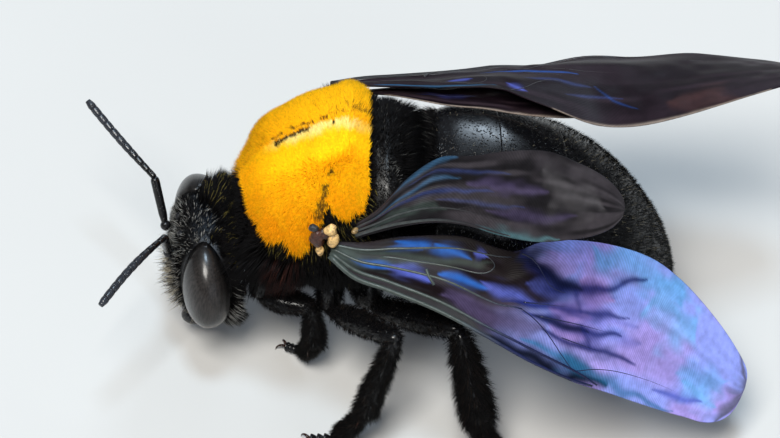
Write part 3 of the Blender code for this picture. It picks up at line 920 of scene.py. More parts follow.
def build_trunk(shell):
    """The skin under the coat; returns its grid, with each point's distance ahead and angle."""
    grid, ahead, angle = trunk_grid()
    tint = blend(BLACK, ORANGE_ROOT * 0.8, yellow_share(ahead, angle, grid))
    shape = Shape()
    add_tube(shape, grid, tint)
    shape.build("trunk_skin", shell, "thorax_coat", ("thorax", "propodeum"))
    return grid, ahead, angle


YELLOW_NEAR_HAIRS = 19000
YELLOW_FAR_HAIRS = 34000
DARK_TRUNK_HAIRS = 17000
REAR_HAIRS = 16000


def coat_trunk(grid, ahead, angle, hair, black_hair):
    rng = np.random.default_rng(21)
    yellow = (yellow_share(ahead, angle, grid) > 0.5) * 1.0
    row_ahead = ahead[:, 0]

    def locate(roots):
        roots.ahead = np.interp(roots.v * (len(row_ahead) - 1), np.arange(len(row_ahead)), row_ahead)
        roots.degrees = roots.u * 360.0
        return roots

    degrees = np.degrees(angle)
    near = (degrees < NEAR_LIMIT) | (degrees > NEAR_START)
    for name, part in {"front": ahead > NEAR_SPLIT, "rear": ahead <= NEAR_SPLIT}.items():
        roots = locate(scatter(grid, yellow * near * part + SLIVER, YELLOW_NEAR_HAIRS, rng))
        coat_near_side(f"coat_thorax_{name}", roots, hair, rng)
    far = yellow * (degrees >= NEAR_LIMIT) * (degrees < FAR_END)
    roots = locate(scatter(grid, far + SLIVER, YELLOW_FAR_HAIRS, rng))
    coat_far_side("coat_thorax_far", roots, hair, rng)
    black = (yellow_share(ahead, angle, grid) < 0.5) * (ahead > DARK_REAR)
    roots = locate(scatter(grid, black + SLIVER, DARK_TRUNK_HAIRS, rng))
    coat_dark_trunk("coat_thorax_dark", roots, black_hair, rng)
    rear = smooth(-2.3, -2.6, ahead) * smooth(-4.55, -4.3, ahead)
    roots = locate(scatter(grid, rear + SLIVER, REAR_HAIRS, rng))
    coat_propodeum("coat_propodeum", roots, black_hair, rng)


def upright(roots):
    """Directions square to the back, leaning less to the rear than its steep hind slope does."""
    steep = 0.65 * smooth(0.4, -0.8, roots.ahead)
    return unit(roots.normal * np.stack([1 + 0 * steep, 1 - steep, 1 + 0 * steep], -1))


def coat_near_side(name, roots, hair, rng):
    """Hairs in fine streaks: those by the parting point up to it, the rest flow down."""
    count = len(roots.point)
    streak = noise(roots.point * np.array([0.25, 1.0, 0.25]), 0.12, 31)
    sway = noise(roots.point * np.array([0.4, 1.0, 0.4]), 0.45, 35)
    tuft = noise_vector(roots.point, 0.30, 41)
    low = smooth(48.0, 20.0, roots.degrees) + smooth(300.0, 330.0, roots.degrees)
    crest = smooth(62.0, 78.0, roots.degrees) * smooth(200.0, 100.0, roots.degrees)
    crest = crest * smooth(3.4, 2.4, roots.ahead)
    fall = 0.50 * (1 - crest) * smooth(84.0, 62.0, (roots.degrees + 60.0) % 360.0 - 60.0)
    flow = roots.around * (crest * 0.42 - fall)[:, None]
    out = upright(roots)
    sideways = roots.rear * (0.05 * sway + 0.08 * streak + 0.08)[:, None] + rng.normal(0.0, 0.07, (count, 3))
    loose = tuft * (0.07 + 0.28 * low)[:, None]
    start = out * 0.95 + flow * 0.5 + sideways + loose * 0.5
    end = out * 0.75 + flow * 1.1 + sideways * 1.5 + loose
    span = (0.66 + 0.16 * rng.random(count)) * (1.0 + 0.20 * low)
    span = span + 0.12 * smooth(2.2, 3.2, roots.ahead) * smooth(50.0, 80.0, roots.degrees)
    ends = hair_ends(roots, start + end, span)
    degrees = coat_degrees(ends)
    fresh = rng.random(count)
    orange = smooth(58.0, 22.0, degrees) * 0.85 + smooth(1.8, 3.4, roots.ahead) * 0.55
    orange = np.clip(orange + 0.34 * noise(roots.point, 0.4, 37) + 0.24 * streak, 0.0, 1.0)
    tip = blend(YELLOW, ORANGE, orange)
    tip = blend(tip, DEEP_ORANGE, orange * fresh * 0.6)
    pale = smooth(80.5, 88.0, degrees + 3.0 * streak) * smooth(2.6, 1.4, roots.ahead)
    pale = pale * (1.0 - 0.6 * smooth(-1.5, -2.2, roots.ahead))
    tip = blend(tip, PALE_TIP, pale * (0.35 + 0.65 * fresh))
    root = blend(ORANGE, ORANGE_ROOT, fresh * (0.25 + 0.5 * orange))
    # dark: hair tips painted with the shadow of the parting
    dark = (parting_shade_share(ends) > rng.random(count)) * 1.0
    # brown: hair tips darkened with painted shade of the hollow over the wing base
    brown = (hollow_shade_share(ends) * 0.92 > rng.random(count)) * (0.65 + 0.35 * fresh)
    tip = blend(blend(tip, COAT_GAP_SHADE, dark), HOLLOW_SHADE, brown)
    root = blend(blend(root, COAT_GAP_SHADE, dark), HOLLOW_SHADE * 0.5, brown)
    shape = Shape()
    add_hairs(shape, roots, start, end, span, HAIR_RADII["near"] + 0.010 * fresh, root, tip)
    shape.build(name, hair, "thorax_coat", uv_name="OFBake")


def coat_far_side(name, roots, hair, rng):
    """Short stubble beyond the parting, longer in front and behind."""
    count = len(roots.point)
    tuft = noise_vector(roots.point, 0.30, 43)
    lean = upright(roots) + roots.around * 0.10 + tuft * 0.16 + rng.normal(0.0, 0.16, (count, 3))
    fresh = rng.random(count)
    span = 0.42 + 0.16 * fresh + 0.26 * smooth(1.6, 3.0, roots.ahead) + 0.30 * smooth(-0.4, -1.8, roots.ahead)
    span = span * (1.0 - 0.25 * smooth(150.0, 170.0, roots.degrees))
    ends = hair_ends(roots, lean, span)
    # Painted shadow of the parting, and a few dark specks of painted shade in the stubble
    dark = parting_shade_share(ends)
    strip = smooth(97.0, 94.0, coat_degrees(ends))
    mixed = rng.random(count)
    tip = blend(YELLOW * np.array([1.0, 0.95, 1.0]), ORANGE, np.clip(0.5 * strip + 0.8 * mixed**2, 0, 1))
    tip = blend(tip, DEEP_ORANGE, smooth(0.6, 3.0, roots.ahead) * 0.8 * (mixed > 0.6))
    dotted = (rng.random(count) < 0.05) * 0.75
    dark = (dark > rng.random(count)) * 1.0
    tip = blend(tip, COAT_GAP_SHADE, np.maximum(dark, dotted))
    root = blend(blend(ORANGE_ROOT, ORANGE, fresh * 0.5), COAT_GAP_SHADE, dark * 0.5)
    shape = Shape()
    add_spikes(shape, roots, lean, span, HAIR_RADII["far"], root, tip)
    shape.build(name, hair, "thorax_coat", uv_name="OFBake")


def coat_dark_trunk(name, roots, hair, rng):
    """Black hair under and in front of the yellow coat, longest beside the front legs."""
    count = len(roots.point)
    tuft = noise_vector(roots.point, 0.5, 51) * 0.5
    front = smooth(2.8, 3.6, roots.ahead)
    upper = smooth(-10.0, 40.0, roots.degrees) * smooth(190.0, 140.0, roots.degrees)
    far = smooth(80.0, 105.0, roots.degrees) * smooth(190.0, 150.0, roots.degrees) * front
    chest = smooth(0.6, 1.6, roots.ahead) * smooth(290.0, 308.0, roots.degrees)
    low = smooth(284.0, 300.0, roots.degrees) + smooth(22.0, 8.0, roots.degrees)
    neck = smooth(2.4, 3.2, roots.ahead) * low
    start = roots.normal + tuft * 0.5 + roots.rear * 0.15
    hanging = np.array([0.0, 0.10, -0.5]) * (1 - front * upper)[:, None]
    hanging = hanging + np.array([0.0, -0.7, -0.2]) * neck[:, None]
    end = roots.normal * 0.7 + tuft + hanging
    olive = smooth(-5.0, 15.0, roots.degrees) * smooth(55.0, 40.0, roots.degrees)
    olive = olive * smooth(2.8, 2.0, roots.ahead)
    olive = (rng.random(count) < (0.003 + 0.16 * olive) * (1.0 - neck)) * 1.0
    tip = blend(BLACK_HAIR * 1.5, STRAW_HAIR * 0.35, olive)
    brown = (rng.random(count) < 0.5) * smooth(2.6, 1.8, roots.ahead) * chest
    tip = blend(tip, CHEST_BROWN, brown)
    length = 0.66 - 0.28 * front * upper + 0.20 * far + 0.75 * chest + 0.75 * neck
    length = length * (0.8 + 0.4 * rng.random(count))
    shape = Shape()
    add_hairs(shape, roots, start, end, length, HAIR_RADII["dark"], BLACK_HAIR, tip)
    shape.build(name, hair, "black_coat", uv_name="OFBake")


def coat_propodeum(name, roots, hair, rng):
    """Short black hair on the hind slope, with a pale stripe and a longer fringe at the waist."""
    count = len(roots.point)
    tuft = noise_vector(roots.point, 0.4, 61) * 0.5
    lean = roots.normal + tuft + roots.rear * 0.25
    stripe = smooth(0.30, 0.05, np.abs(-roots.ahead - 3.05 - 0.045 * (72.0 - roots.degrees)))
    stripe = stripe * smooth(100.0, 76.0, roots.degrees)
    pale = stripe * (rng.random(count) < 0.22) + 0.7 * (rng.random(count) < 0.015)
    tip = blend(BLACK_HAIR * 1.2, GREY_HAIR * 0.5, pale)
    brown = smooth(-3.3, -2.8, roots.ahead) * smooth(90.0, 60.0, roots.degrees)
    tip = tip + brown[:, None] * np.array([0.010, 0.005, 0.003])
    waist = smooth(-3.7, -4.2, roots.ahead)
    lean = lean + (roots.rear * 0.3 + roots.normal * 0.3) * waist[:, None]
    length = 0.34 + 0.2 * rng.random(count) + 0.55 * waist
    shape = Shape()
    add_spikes(shape, roots, lean, length, HAIR_RADII["propodeum"], BLACK_HAIR, tip)
    shape.build(name, hair, "black_coat", uv_name="OFBake")


# Abdomen


def abdomen_points(share, angle, inset):
    """Points of the curled abdomen, inside its solids by inset."""
    turn = (ABDOMEN_END_PITCH - ABDOMEN_START_PITCH) / ABDOMEN_LENGTH
    pitch = ABDOMEN_START_PITCH + turn * ABDOMEN_LENGTH * share
    along = (np.sin(pitch) - math.sin(ABDOMEN_START_PITCH)) / turn
    down = (math.cos(ABDOMEN_START_PITCH) - np.cos(pitch)) / turn
    half_width, half_height = columns(ABDOMEN_SECTIONS, share)
    across = signed_power(np.cos(angle), 2 / ABDOMEN_POWER) * (half_width - inset)
    rise = signed_power(np.sin(angle), 2 / ABDOMEN_POWER)
    tall = np.where(rise > 0, half_height, half_height * BELLY_FLATTENING) - inset
    rise = rise * np.maximum(tall, 0.05)
    middle = np.stack([0 * along, along, -down], -1) + ABDOMEN_ROOT
    up = np.stack([0 * pitch, np.sin(pitch), np.cos(pitch)], -1)
    return middle + across[..., None] * np.array([1.0, 0.0, 0.0]) + up * rise[..., None]


def tergite_grid(number, rows=30, cols=128):
    """One ring of shell, flaring to a thin rear lip that covers the next one's front."""
    first, last = ABDOMEN_BORDERS[number - 1], ABDOMEN_BORDERS[number]
    lip = 0.010 if number < 6 else 0.0
    share = np.linspace(first - (0.012 if number > 1 else 0.0), last + lip, rows)
    angle = circle(cols)
    share, angle = np.meshgrid(share, angle, indexing="ij")
    part = (share - first) / (last - first)
    flare = 0.03 * smooth(0.10, -0.05, part) if number > 1 else 0.0 * part
    rim = 0.01 * smooth(0.95, 1.0, part) * (number < 6)
    tuck = 0.10 * smooth(math.sin(math.radians(-12)), math.sin(math.radians(-20)), np.sin(angle))
    inset = ABDOMEN_COAT + flare + rim + tuck
    return abdomen_points(share, angle, inset), share, angle


def build_abdomen(shell, hair):
    for number in range(1, len(ABDOMEN_BORDERS)):
        grid, _, _ = tergite_grid(number)
        shape = Shape()
        add_tube(shape, grid, BLACK)
        shape.build(f"tergite_{number}", shell, "cuticle", (f"abdomen_segment_{number}",))
    coat_abdomen(hair, np.random.default_rng(33))


ABDOMEN_DOWN_HAIRS = 16000
ABDOMEN_FRINGE_HAIRS = 12000
ABDOMEN_FRONT_HAIRS = 5000
ABDOMEN_TAIL_HAIRS = 38000


def coat_abdomen(hair, rng):
    """Sparse short down, longer at the sides and tail, and a brush in front."""
    share = np.linspace(0.004, 0.995, 120)
    angle = circle(128)
    share, angle = np.meshgrid(share, angle, indexing="ij")
    grid = abdomen_points(share, angle, ABDOMEN_COAT + 0.05)
    shape = Shape()
    count = ABDOMEN_DOWN_HAIRS
    roots = scatter(grid, 0.15 + smooth(0.45, 1.0, share), count, rng)
    lean = roots.normal * 0.8 + roots.rear * 0.9 + noise_vector(roots.point, 0.3, 71) * 0.3
    # glint: a few pale hair tips, painted glints of light
    glint = (rng.random(count) < 0.07) * 1.0
    tip = blend(BLACK_HAIR, CREAM_HAIR, glint)
    length = 0.13 + 0.10 * rng.random(count)
    add_spikes(shape, roots, lean, length, HAIR_RADII["down"], BLACK_HAIR, tip)
    count = ABDOMEN_FRINGE_HAIRS
    side = smooth(0.30, 0.0, np.abs(np.sin(angle) + 0.15)) + smooth(0.85, 1.0, share)
    roots = scatter(grid, side * smooth(0.0, 0.1, share) + SLIVER, count, rng)
    lean = roots.normal * 0.8 + roots.rear * 0.8 + noise_vector(roots.point, 0.35, 73) * 0.4
    length = 0.28 + 0.25 * rng.random(count)
    add_spikes(shape, roots, lean, length, HAIR_RADII["sides"], BLACK_HAIR, BLACK_HAIR * 1.5)
    count = ABDOMEN_FRONT_HAIRS
    front = smooth(0.05, 0.0, share) * smooth(-0.5, 0.3, np.sin(angle))
    roots = scatter(grid, front + SLIVER, count, rng)
    lean = roots.normal + noise_vector(roots.point, 0.35, 75) * 0.4 + np.array([0.0, -0.5, 0.0])
    tip = blend(BLACK_HAIR * 1.2, GREY_HAIR * 0.35, (rng.random(count) < 0.06) * 1.0)
    length = 0.20 + 0.25 * rng.random(count) + 0.5 * smooth(5.6, 5.0, roots.point[:, 1])
    add_spikes(shape, roots, lean, length, HAIR_RADII["brush"], BLACK_HAIR, tip)
    shape.build("coat_abdomen", hair, "black_coat", uv_name="OFBake")
    coat_tail(grid, share, angle, hair, rng)


def coat_tail(grid, share, angle, hair, rng):
    """Dense short black hair with a few glints, thickening from the middle of the abdomen back."""
    count = ABDOMEN_TAIL_HAIRS
    cover = smooth(0.22, 0.60, share + 0.10 * smooth(0.8, 0.2, np.sin(angle)))
    roots = scatter(grid, cover + SLIVER, count, rng)
    lean = roots.normal * 0.9 + roots.rear * 0.8 + noise_vector(roots.point, 0.3, 77) * 0.4
    lean = lean + rng.normal(0.0, 0.15, (count, 3))
    # glint: a few pale hair tips, painted glints of light
    glint = (rng.random(count) < 0.035) * (0.4 + 0.6 * rng.random(count))
    tip = blend(BLACK_HAIR * 0.8, CREAM_HAIR, glint)
    shape = Shape()
    length = 0.20 + 0.14 * rng.random(count)
    add_spikes(shape, roots, lean, length, HAIR_RADII["tail"], BLACK_HAIR * 0.8, tip)
    shape.build("coat_tail", hair, "black_coat", uv_name="OFBake")


# Head


def on_head(points):
    turn = np.array(Matrix.Rotation(HEAD_TURN, 3, "Z"))
    return np.asarray(points, float) @ turn.T + HEAD_MIDDLE


def head_half_width(back, rise):
    depth = np.where(back < 0, HEAD_HALF[1], HEAD_REAR_DEPTH)
    height = np.where(rise < 0, HEAD_LOWER_HEIGHT, HEAD_HALF[2])
    left = 1.0 - np.abs(back / depth) ** HEAD_POWER - np.abs(rise / height) ** HEAD_POWER
    return HEAD_HALF[0] * np.maximum(left, 0.0) ** (1 / HEAD_POWER)


def face_relief(across, rise):
    """How far the shell of the face stands out, by place on its front."""
    side = np.abs(across)
    clypeus = 0.15 * smooth(1.45, 1.15, side + 0.25 * (rise + 1.0)) * smooth(-2.75, -2.5, rise)
    clypeus = clypeus * smooth(-0.55, -0.8, rise)
    ridge = 0.10 * smooth(0.28, 0.05, side) * smooth(-0.9, -0.5, rise) * smooth(1.5, 0.9, rise)
    socket = np.hypot(side - 0.75, rise - 0.85)
    pit = -0.16 * smooth(0.34, 0.12, socket) + 0.05 * smooth(0.14, 0.0, np.abs(socket - 0.42))
    return clypeus + ridge + pit


def head_grid(rows=110, cols=128):
    rear = math.asin((HEAD_REAR / HEAD_REAR_DEPTH) ** (HEAD_POWER / 2))
    turn = np.linspace(math.radians(-89.0), rear, rows)
    angle = circle(cols)
    turn, angle = np.meshgrid(turn, angle, indexing="ij")
    depth = np.where(turn < 0, HEAD_HALF[1], HEAD_REAR_DEPTH)
    back = depth * signed_power(np.sin(turn), 2 / HEAD_POWER)
    shrink = np.cos(turn) ** (2 / HEAD_POWER)
    across = HEAD_HALF[0] * shrink * signed_power(np.cos(angle), 2 / HEAD_POWER)
    height = np.where(np.sin(angle) < 0, HEAD_LOWER_HEIGHT, HEAD_HALF[2])
    rise = height * shrink * signed_power(np.sin(angle), 2 / HEAD_POWER)
    hull = np.stack([across, back, rise], -1)
    front = smooth(-0.2, -0.9, back)
    inset = HEAD_COAT - face_relief(across, rise) * front
    return hull - outward_normals(hull) * inset[..., None]


def ball(middle, half, rows=14, cols=20):
    """An ellipsoid as a grid of rings."""
    turn = np.linspace(-math.pi / 2 + 0.05, math.pi / 2 - 0.05, rows)[:, None]
    angle = circle(cols)[None]
    ring = np.cos(turn)
    outward = np.stack([ring * np.cos(angle), ring * np.sin(angle), np.sin(turn) + 0 * angle], -1)
    return np.asarray(middle, float) + outward * np.asarray(half, float)


def build_head(shell, eye, hair):
    local = head_grid()
    across, back, rise = np.moveaxis(local, -1, 0)
    # Painted sheen: a bluish reflection of the sky painted on the top of the head
    sheen = smooth(0.9, 2.2, rise) * smooth(-0.8, 0.4, back) * smooth(2.3, 1.7, across)
    shape = Shape()
    add_tube(shape, on_head(local), blend(BLACK, HEAD_SHEEN, sheen))
    for beside, high in OCELLI:
        depth = -HEAD_HALF[1] * (1 - abs(high / HEAD_HALF[2]) ** HEAD_POWER) ** (1 / HEAD_POWER)
        add_tube(shape, on_head(ball((beside, depth + 0.14, high), OCELLUS_HALF)), BLACK * 3)
    shape.build("head_capsule", shell, "black_coat", ("head",))
    for side, sign in SIDES.items():
        build_eye(side, sign, eye)
    coat_head(local, hair)


def build_eye(side, sign, eye):
    shares = np.concatenate([np.linspace(0.03, 0.9, 22), np.linspace(0.92, 1.0, 8)])
    turns = circle(64)

    def ring(share, outer):
        back = EYE_HALF_DEPTH * share * np.cos(turns) - EYE_FORWARD
        rise = EYE_HALF_HEIGHT * share * np.sin(turns) + EYE_RISE
        dome = EYE_BULGE * (1.0 - share**2.4) ** 0.6 if outer else 0.0
        width = head_half_width(back, rise) - HEAD_COAT + 0.02
        width = width + (EYE_RIM + HEAD_COAT + dome if outer else -0.05)
        return on_head(np.stack([sign * width, back, rise], -1))

    backing = (1.0, 0.5, 0.1)
    grid = [ring(share, True) for share in shares] + [ring(share, False) for share in backing]
    spread = np.concatenate([shares, np.ones(len(backing))])[:, None]
    # Painted shade: the eye darker over its rear half; it is also darker round its edge
    shade = 1.0 - 0.55 * smooth(0.1, 0.9, spread * np.cos(turns)) - 0.5 * smooth(0.88, 0.98, spread)
    shape = Shape()
    add_tube(shape, np.array(grid), EYE_BROWN * np.maximum(shade, 0.2)[..., None])
    shape.build(f"compound_eye_{side}", eye, "eye", (f"eye_{side}",))


HEAD_FROST_HAIRS = 26000
HEAD_BLACK_HAIRS = 8600
HEAD_FRINGE_HAIRS = 1500


def coat_head(local, hair):
    """Short frosted hair on the face, spiky fringes round it, and long black hair behind."""
    rng = np.random.default_rng(45)
    grid = on_head(local)
    across, back, rise = np.moveaxis(local, -1, 0)
    eye_spot = np.hypot((back + EYE_FORWARD) / EYE_HALF_DEPTH, (rise - EYE_RISE) / EYE_HALF_HEIGHT)
    clear = 1 - smooth(1.10, 1.0, eye_spot) * (np.abs(across) > 1.6)
    shape = Shape()

    count = HEAD_FROST_HAIRS
    frost = clear * (0.6 + 0.4 * smooth(0.2, -0.9, back)) * smooth(1.26, 1.1, back)
    roots = scatter(grid, frost + SLIVER, count, rng)
    tuft = noise_vector(roots.point, 0.30, 81)
    lean = roots.normal * 0.8 + roots.rear * 0.35 + tuft * 0.55 + rng.normal(0.0, 0.15, (count, 3))
    where = (roots.point - HEAD_MIDDLE)[:, 1]
    chance = 0.055 + 0.09 * smooth(-0.8, -1.4, where)
    pale = (rng.random(count) < chance) * (0.35 + 0.65 * rng.random(count))
    tip = blend(BLACK_HAIR * 0.8, GREY_HAIR * 1.5, pale)
    length = 0.20 + 0.14 * rng.random(count) + 0.08 * (pale > 0.5)
    radius = HAIR_RADII["face"] + 0.006 * (pale > 0)
    add_spikes(shape, roots, lean, length, radius, BLACK_HAIR * 0.8, tip)

    count = HEAD_FRINGE_HAIRS
    fringe = smooth(-0.95, -1.3, back) * smooth(0.7, -0.6, rise)
    fringe = clear * (fringe + smooth(-1.9, -2.3, rise) * smooth(1.2, 0.6, back))
    roots = scatter(grid, fringe + SLIVER, count, rng)
    tuft = noise_vector(roots.point, 0.35, 83)
    lean = roots.normal + tuft * 0.5 + rng.normal(0.0, 0.22, (count, 3)) + np.array([0.0, -0.1, -0.2])
    mixed = rng.random(count)
    light = blend(GREY_HAIR, CREAM_HAIR, mixed) * 1.3
    tip = blend(BLACK_HAIR * 2, light, smooth(0.25, 0.55, rng.random(count)))
    length = 0.40 + 0.60 * mixed**2
    add_spikes(shape, roots, lean, length, HAIR_RADII["fringe"], BLACK_HAIR * 2, tip)

    count = HEAD_BLACK_HAIRS
    beside_eye = smooth(1.45, 1.10, eye_spot) * smooth(0.0, 0.5, back) * (across > 1.2)
    behind = smooth(0.3, 0.9, back + 0.6 * smooth(0.5, -1.0, across)) + 1.5 * beside_eye
    vertex = clear * behind * smooth(1.26, 1.15, back)
    roots = scatter(grid, vertex + SLIVER, count, rng)
    local_roots = roots.point - HEAD_MIDDLE
    high = smooth(0.8, 2.2, local_roots[:, 2])
    far = smooth(0.6, -1.2, local_roots[:, 0]) * high
    beard = smooth(0.2, -1.2, local_roots[:, 2]) * smooth(0.3, 0.8, local_roots[:, 1])
    tuft = noise_vector(roots.point, 0.35, 85)
    start = roots.normal + tuft * 0.4 + np.array([0.0, 0.35, 0.15])
    start = start + np.array([-0.2, 0.0, 0.4]) * far[:, None]
    end = roots.normal * 0.6 + tuft * 0.8 + np.array([0.0, 0.7, 0.2])
    end = end + np.array([-0.2, -0.3, 0.5]) * far[:, None]
    straw = (rng.random(count) < 0.05 * high) * 1.0
    tip = blend(BLACK_HAIR, STRAW_HAIR * 0.7, straw)
    frosted = (rng.random(count) < 0.05 + 0.17 * beard) * (1.0 - straw) * smooth(1.6, 0.6, local_roots[:, 2])
    tip = blend(tip, GREY_HAIR * 1.5, frosted)
    length = 0.50 + 0.3 * rng.random(count) + 0.45 * far + 0.22 * beard
    radius = HAIR_RADII["head"] - 0.004 * straw
    add_hairs(shape, roots, start, end, length, radius, BLACK_HAIR, tip)
    shape.build("coat_head", hair, "black_coat", uv_name="OFBake")


# Feelers and mouth


FEELER_JOINTS = 11


def build_feelers(shell):
    for side, sign in SIDES.items():
        mirror = np.array([sign, 1.0, 1.0])
        root = on_head(SCAPE_ROOT * mirror)
        outward = unit(np.array(SCAPE_DIRECTIONS[side]))
        elbow = root + outward * SCAPE_LENGTH
        shape = Shape()
        add_tube(shape, ball(root - outward * 0.05, (0.24, 0.24, 0.24)), BLACK * 2)
        share = np.linspace(0.0, 1.0, 24)
        path = root + (elbow - root) * share[:, None]
        radii = 0.14 + 0.05 * smooth(0.0, 0.25, share) + 0.02 * share - 0.09 * smooth(0.94, 1.0, share)
        add_tube(shape, tube_grid(path, radii, 18), BLACK)
        direction = unit(np.array(FLAGELLUM_DIRECTIONS[side]))
        bend = np.array([0.0, 0.0, 0.30 if side == "left" else -0.12])
        for joint in range(FEELER_JOINTS):
            part = np.linspace(joint / FEELER_JOINTS, (joint + 0.985) / FEELER_JOINTS, 9)
            spot = elbow + direction * (part * (FLAGELLUM_LENGTH - 0.1))[:, None]
            spot = spot + bend * np.sin(part * math.pi)[:, None]
            inside = np.linspace(0.0, 1.0, 9)
            thick = 0.145 + 0.045 * smooth(0.0, 0.5, part) - 0.05 * smooth(0.93, 1.0, part)
            ring = thick * (0.90 + 0.10 * np.sin(inside * math.pi) ** 0.5)
            grey = blend(BLACK, FEELER_GREY, smooth(0.15, 0.5, part[4]))
            add_tube(shape, tube_grid(spot, ring, 18), grey)
        nodes = (f"antenna_scape_{side}", f"antenna_flagellum_{side}")
        shape.build(f"antenna_{side}", shell, "cuticle", nodes)


def build_mouth(shell):
    for side, sign in SIDES.items():
        path = curve([on_head(np.array(place) * [sign, 1, 1]) for place in MANDIBLE_PATH], 26)
        share = np.linspace(0.0, 1.0, 26)
        radii = 0.34 + 0.14 * np.sin(share * 2.4) - 0.24 * smooth(0.6, 1.0, share)
        shape = Shape()
        tint = blend(BLACK * 2, RED_BROWN, smooth(0.5, 0.9, share))[:, None] + np.zeros((26, 20, 3))
        add_tube(shape, tube_grid(path, radii, 20, 0.8), tint)
        shape.build(f"jaw_{side}", shell, "cuticle", (f"mandible_{side}",))
    shape = Shape()
    for across in (-0.16, 0.16):
        path = np.array([on_head(np.array(place) + [across, 0, 0]) for place in PROBOSCIS_PATH])
        path = path[0] + (path[1] - path[0]) * np.linspace(0.0, 1.0, 16)[:, None]
        add_tube(shape, tube_grid(path, np.linspace(0.27, 0.18, 16), 14, 0.9), RED_BROWN * 0.6)
    add_tube(shape, on_head(ball((0.0, -0.62, -2.55), (0.95, 0.45, 0.42))), BLACK * 2)
    shape.build("tongue", shell, "cuticle", ("proboscis",))


# Wings


def wing_frames(name, share):
    """Span, chord towards the trailing edge, and normal, at shares of the span."""
    sweep, droop, roll = np.radians(columns(WING_POSES[name], share))
    span = np.stack([np.sin(sweep) * np.cos(droop), np.cos(sweep) * np.cos(droop), -np.sin(droop)], -1)
    inward = unit(np.cross(np.array([0.0, 0.0, 1.0]), span))
    chord = inward * np.cos(roll)[..., None] + np.cross(span, inward) * np.sin(roll)[..., None]
    mirror = np.array([1.0 if name.endswith("left") else -1.0, 1.0, 1.0])
    return span * mirror, chord * mirror, np.cross(span, chord) * mirror


def wing_points(name, share, part):
    """Points of a wing at shares of its span and parts of its chord from the leading edge."""
    fore = name.startswith("fore")
    length = FOREWING_LENGTH if fore else HINDWING_LENGTH
    fine = np.linspace(0.0, 1.0, 801)
    span, _, _ = wing_frames(name, fine)
    step = (span[1:] + span[:-1]) / 2 * length / 800
    line = np.concatenate([np.zeros((1, 3)), np.cumsum(step, 0)]) + np.array(WING_ROOTS[name])
    place = np.stack([np.interp(share, fine, line[:, axis]) for axis in range(3)], -1)
    _, chord, normal = wing_frames(name, share)
    lead, trail = columns(FOREWING_OUTLINE if fore else HINDWING_OUTLINE, share)
    width = lead - trail
    camber = WING_CAMBER * width * np.sin(math.pi * part)
    off = camber + wing_relief(name, share, part)
    return place + chord * (-lead + width * part)[..., None] + normal * off[..., None]


def wing_relief(name, share, part):
    """Folds, waves and curled edge of the membrane, in millimetres along its normal."""
    place = flat_place(share, part)
    wave = 0.05 * noise(place, 1.6, 91) + 0.03 * noise(place, 0.7, 93)
    basal = 0.06 * np.sin(part * 5 * math.pi + share * 9.0)
    basal = basal * smooth(0.0, 0.1, share) * smooth(0.55, 0.35, share)
    wave = wave * smooth(0.05, 0.3, share) * smooth(1.0, 0.88, share)
    relief = (wave + basal) * np.sin(math.pi * np.clip(part, 0, 1)) ** 0.5
    if name == "forewing_right":
        curl = smooth(0.32, 0.0, part) * smooth(0.32, 0.46, share) * smooth(0.78, 0.60, share)
        relief = relief - 0.55 * curl
    if name == "hindwing_right":
        relief = relief - 0.31 * smooth(0.10, 0.35, share) * smooth(-0.3, 0.7, part)
    return relief


# Veins: points by share of the span and part of the chord, and the radius at both ends
FOREWING_VEINS = (
    (((0.00, 0.10), (0.15, 0.03), (0.40, 0.01), (0.62, 0.015)), 0.13, 0.06),
    (((0.00, 0.30), (0.15, 0.16), (0.35, 0.11), (0.55, 0.08), (0.63, 0.03)), 0.10, 0.05),
    (((0.00, 0.55), (0.12, 0.44), (0.28, 0.40), (0.40, 0.38)), 0.08, 0.045),
    (((0.10, 0.62), (0.19, 0.58), (0.29, 0.63), (0.323, 0.76), (0.305, 0.86), (0.24, 0.91)), 0.05, 0.03),
    (((0.195, 0.49), (0.205, 0.40), (0.22, 0.31)), 0.085, 0.07),
    (((0.40, 0.38), (0.45, 0.29), (0.51, 0.16), (0.56, 0.07)), 0.045, 0.035),
    (((0.367, 0.95), (0.40, 0.80), (0.438, 0.62), (0.48, 0.585), (0.527, 0.60)), 0.05, 0.025),
    (((0.00, 0.80), (0.12, 0.78), (0.25, 0.84), (0.35, 0.93)), 0.08, 0.035),
    (((0.56, 0.07), (0.62, 0.14), (0.72, 0.18), (0.82, 0.19), (0.90, 0.13), (0.93, 0.05)), 0.04, 0.025),
    (((0.40, 0.44), (0.473, 0.48), (0.605, 0.55)), 0.045, 0.022),
    (((0.44, 0.36), (0.53, 0.39), (0.62, 0.40), (0.74, 0.38)), 0.045, 0.022),
    (((0.50, 0.26), (0.575, 0.26), (0.633, 0.26), (0.70, 0.25)), 0.04, 0.022),
    (((0.53, 0.39), (0.55, 0.33), (0.575, 0.26)), 0.03, 0.025),
)
HINDWING_VEINS = (
    (((0.00, 0.20), (0.20, 0.06), (0.45, 0.03), (0.60, 0.02)), 0.09, 0.04),
    (((0.00, 0.45), (0.20, 0.26), (0.42, 0.20), (0.60, 0.14)), 0.06, 0.03),
    (((0.38, 0.20), (0.52, 0.34), (0.66, 0.40)), 0.035, 0.022),
    (((0.00, 0.70), (0.20, 0.55), (0.36, 0.55), (0.50, 0.66)), 0.05, 0.022),
    (((0.36, 0.55), (0.38, 0.38), (0.40, 0.22)), 0.03, 0.025),
)

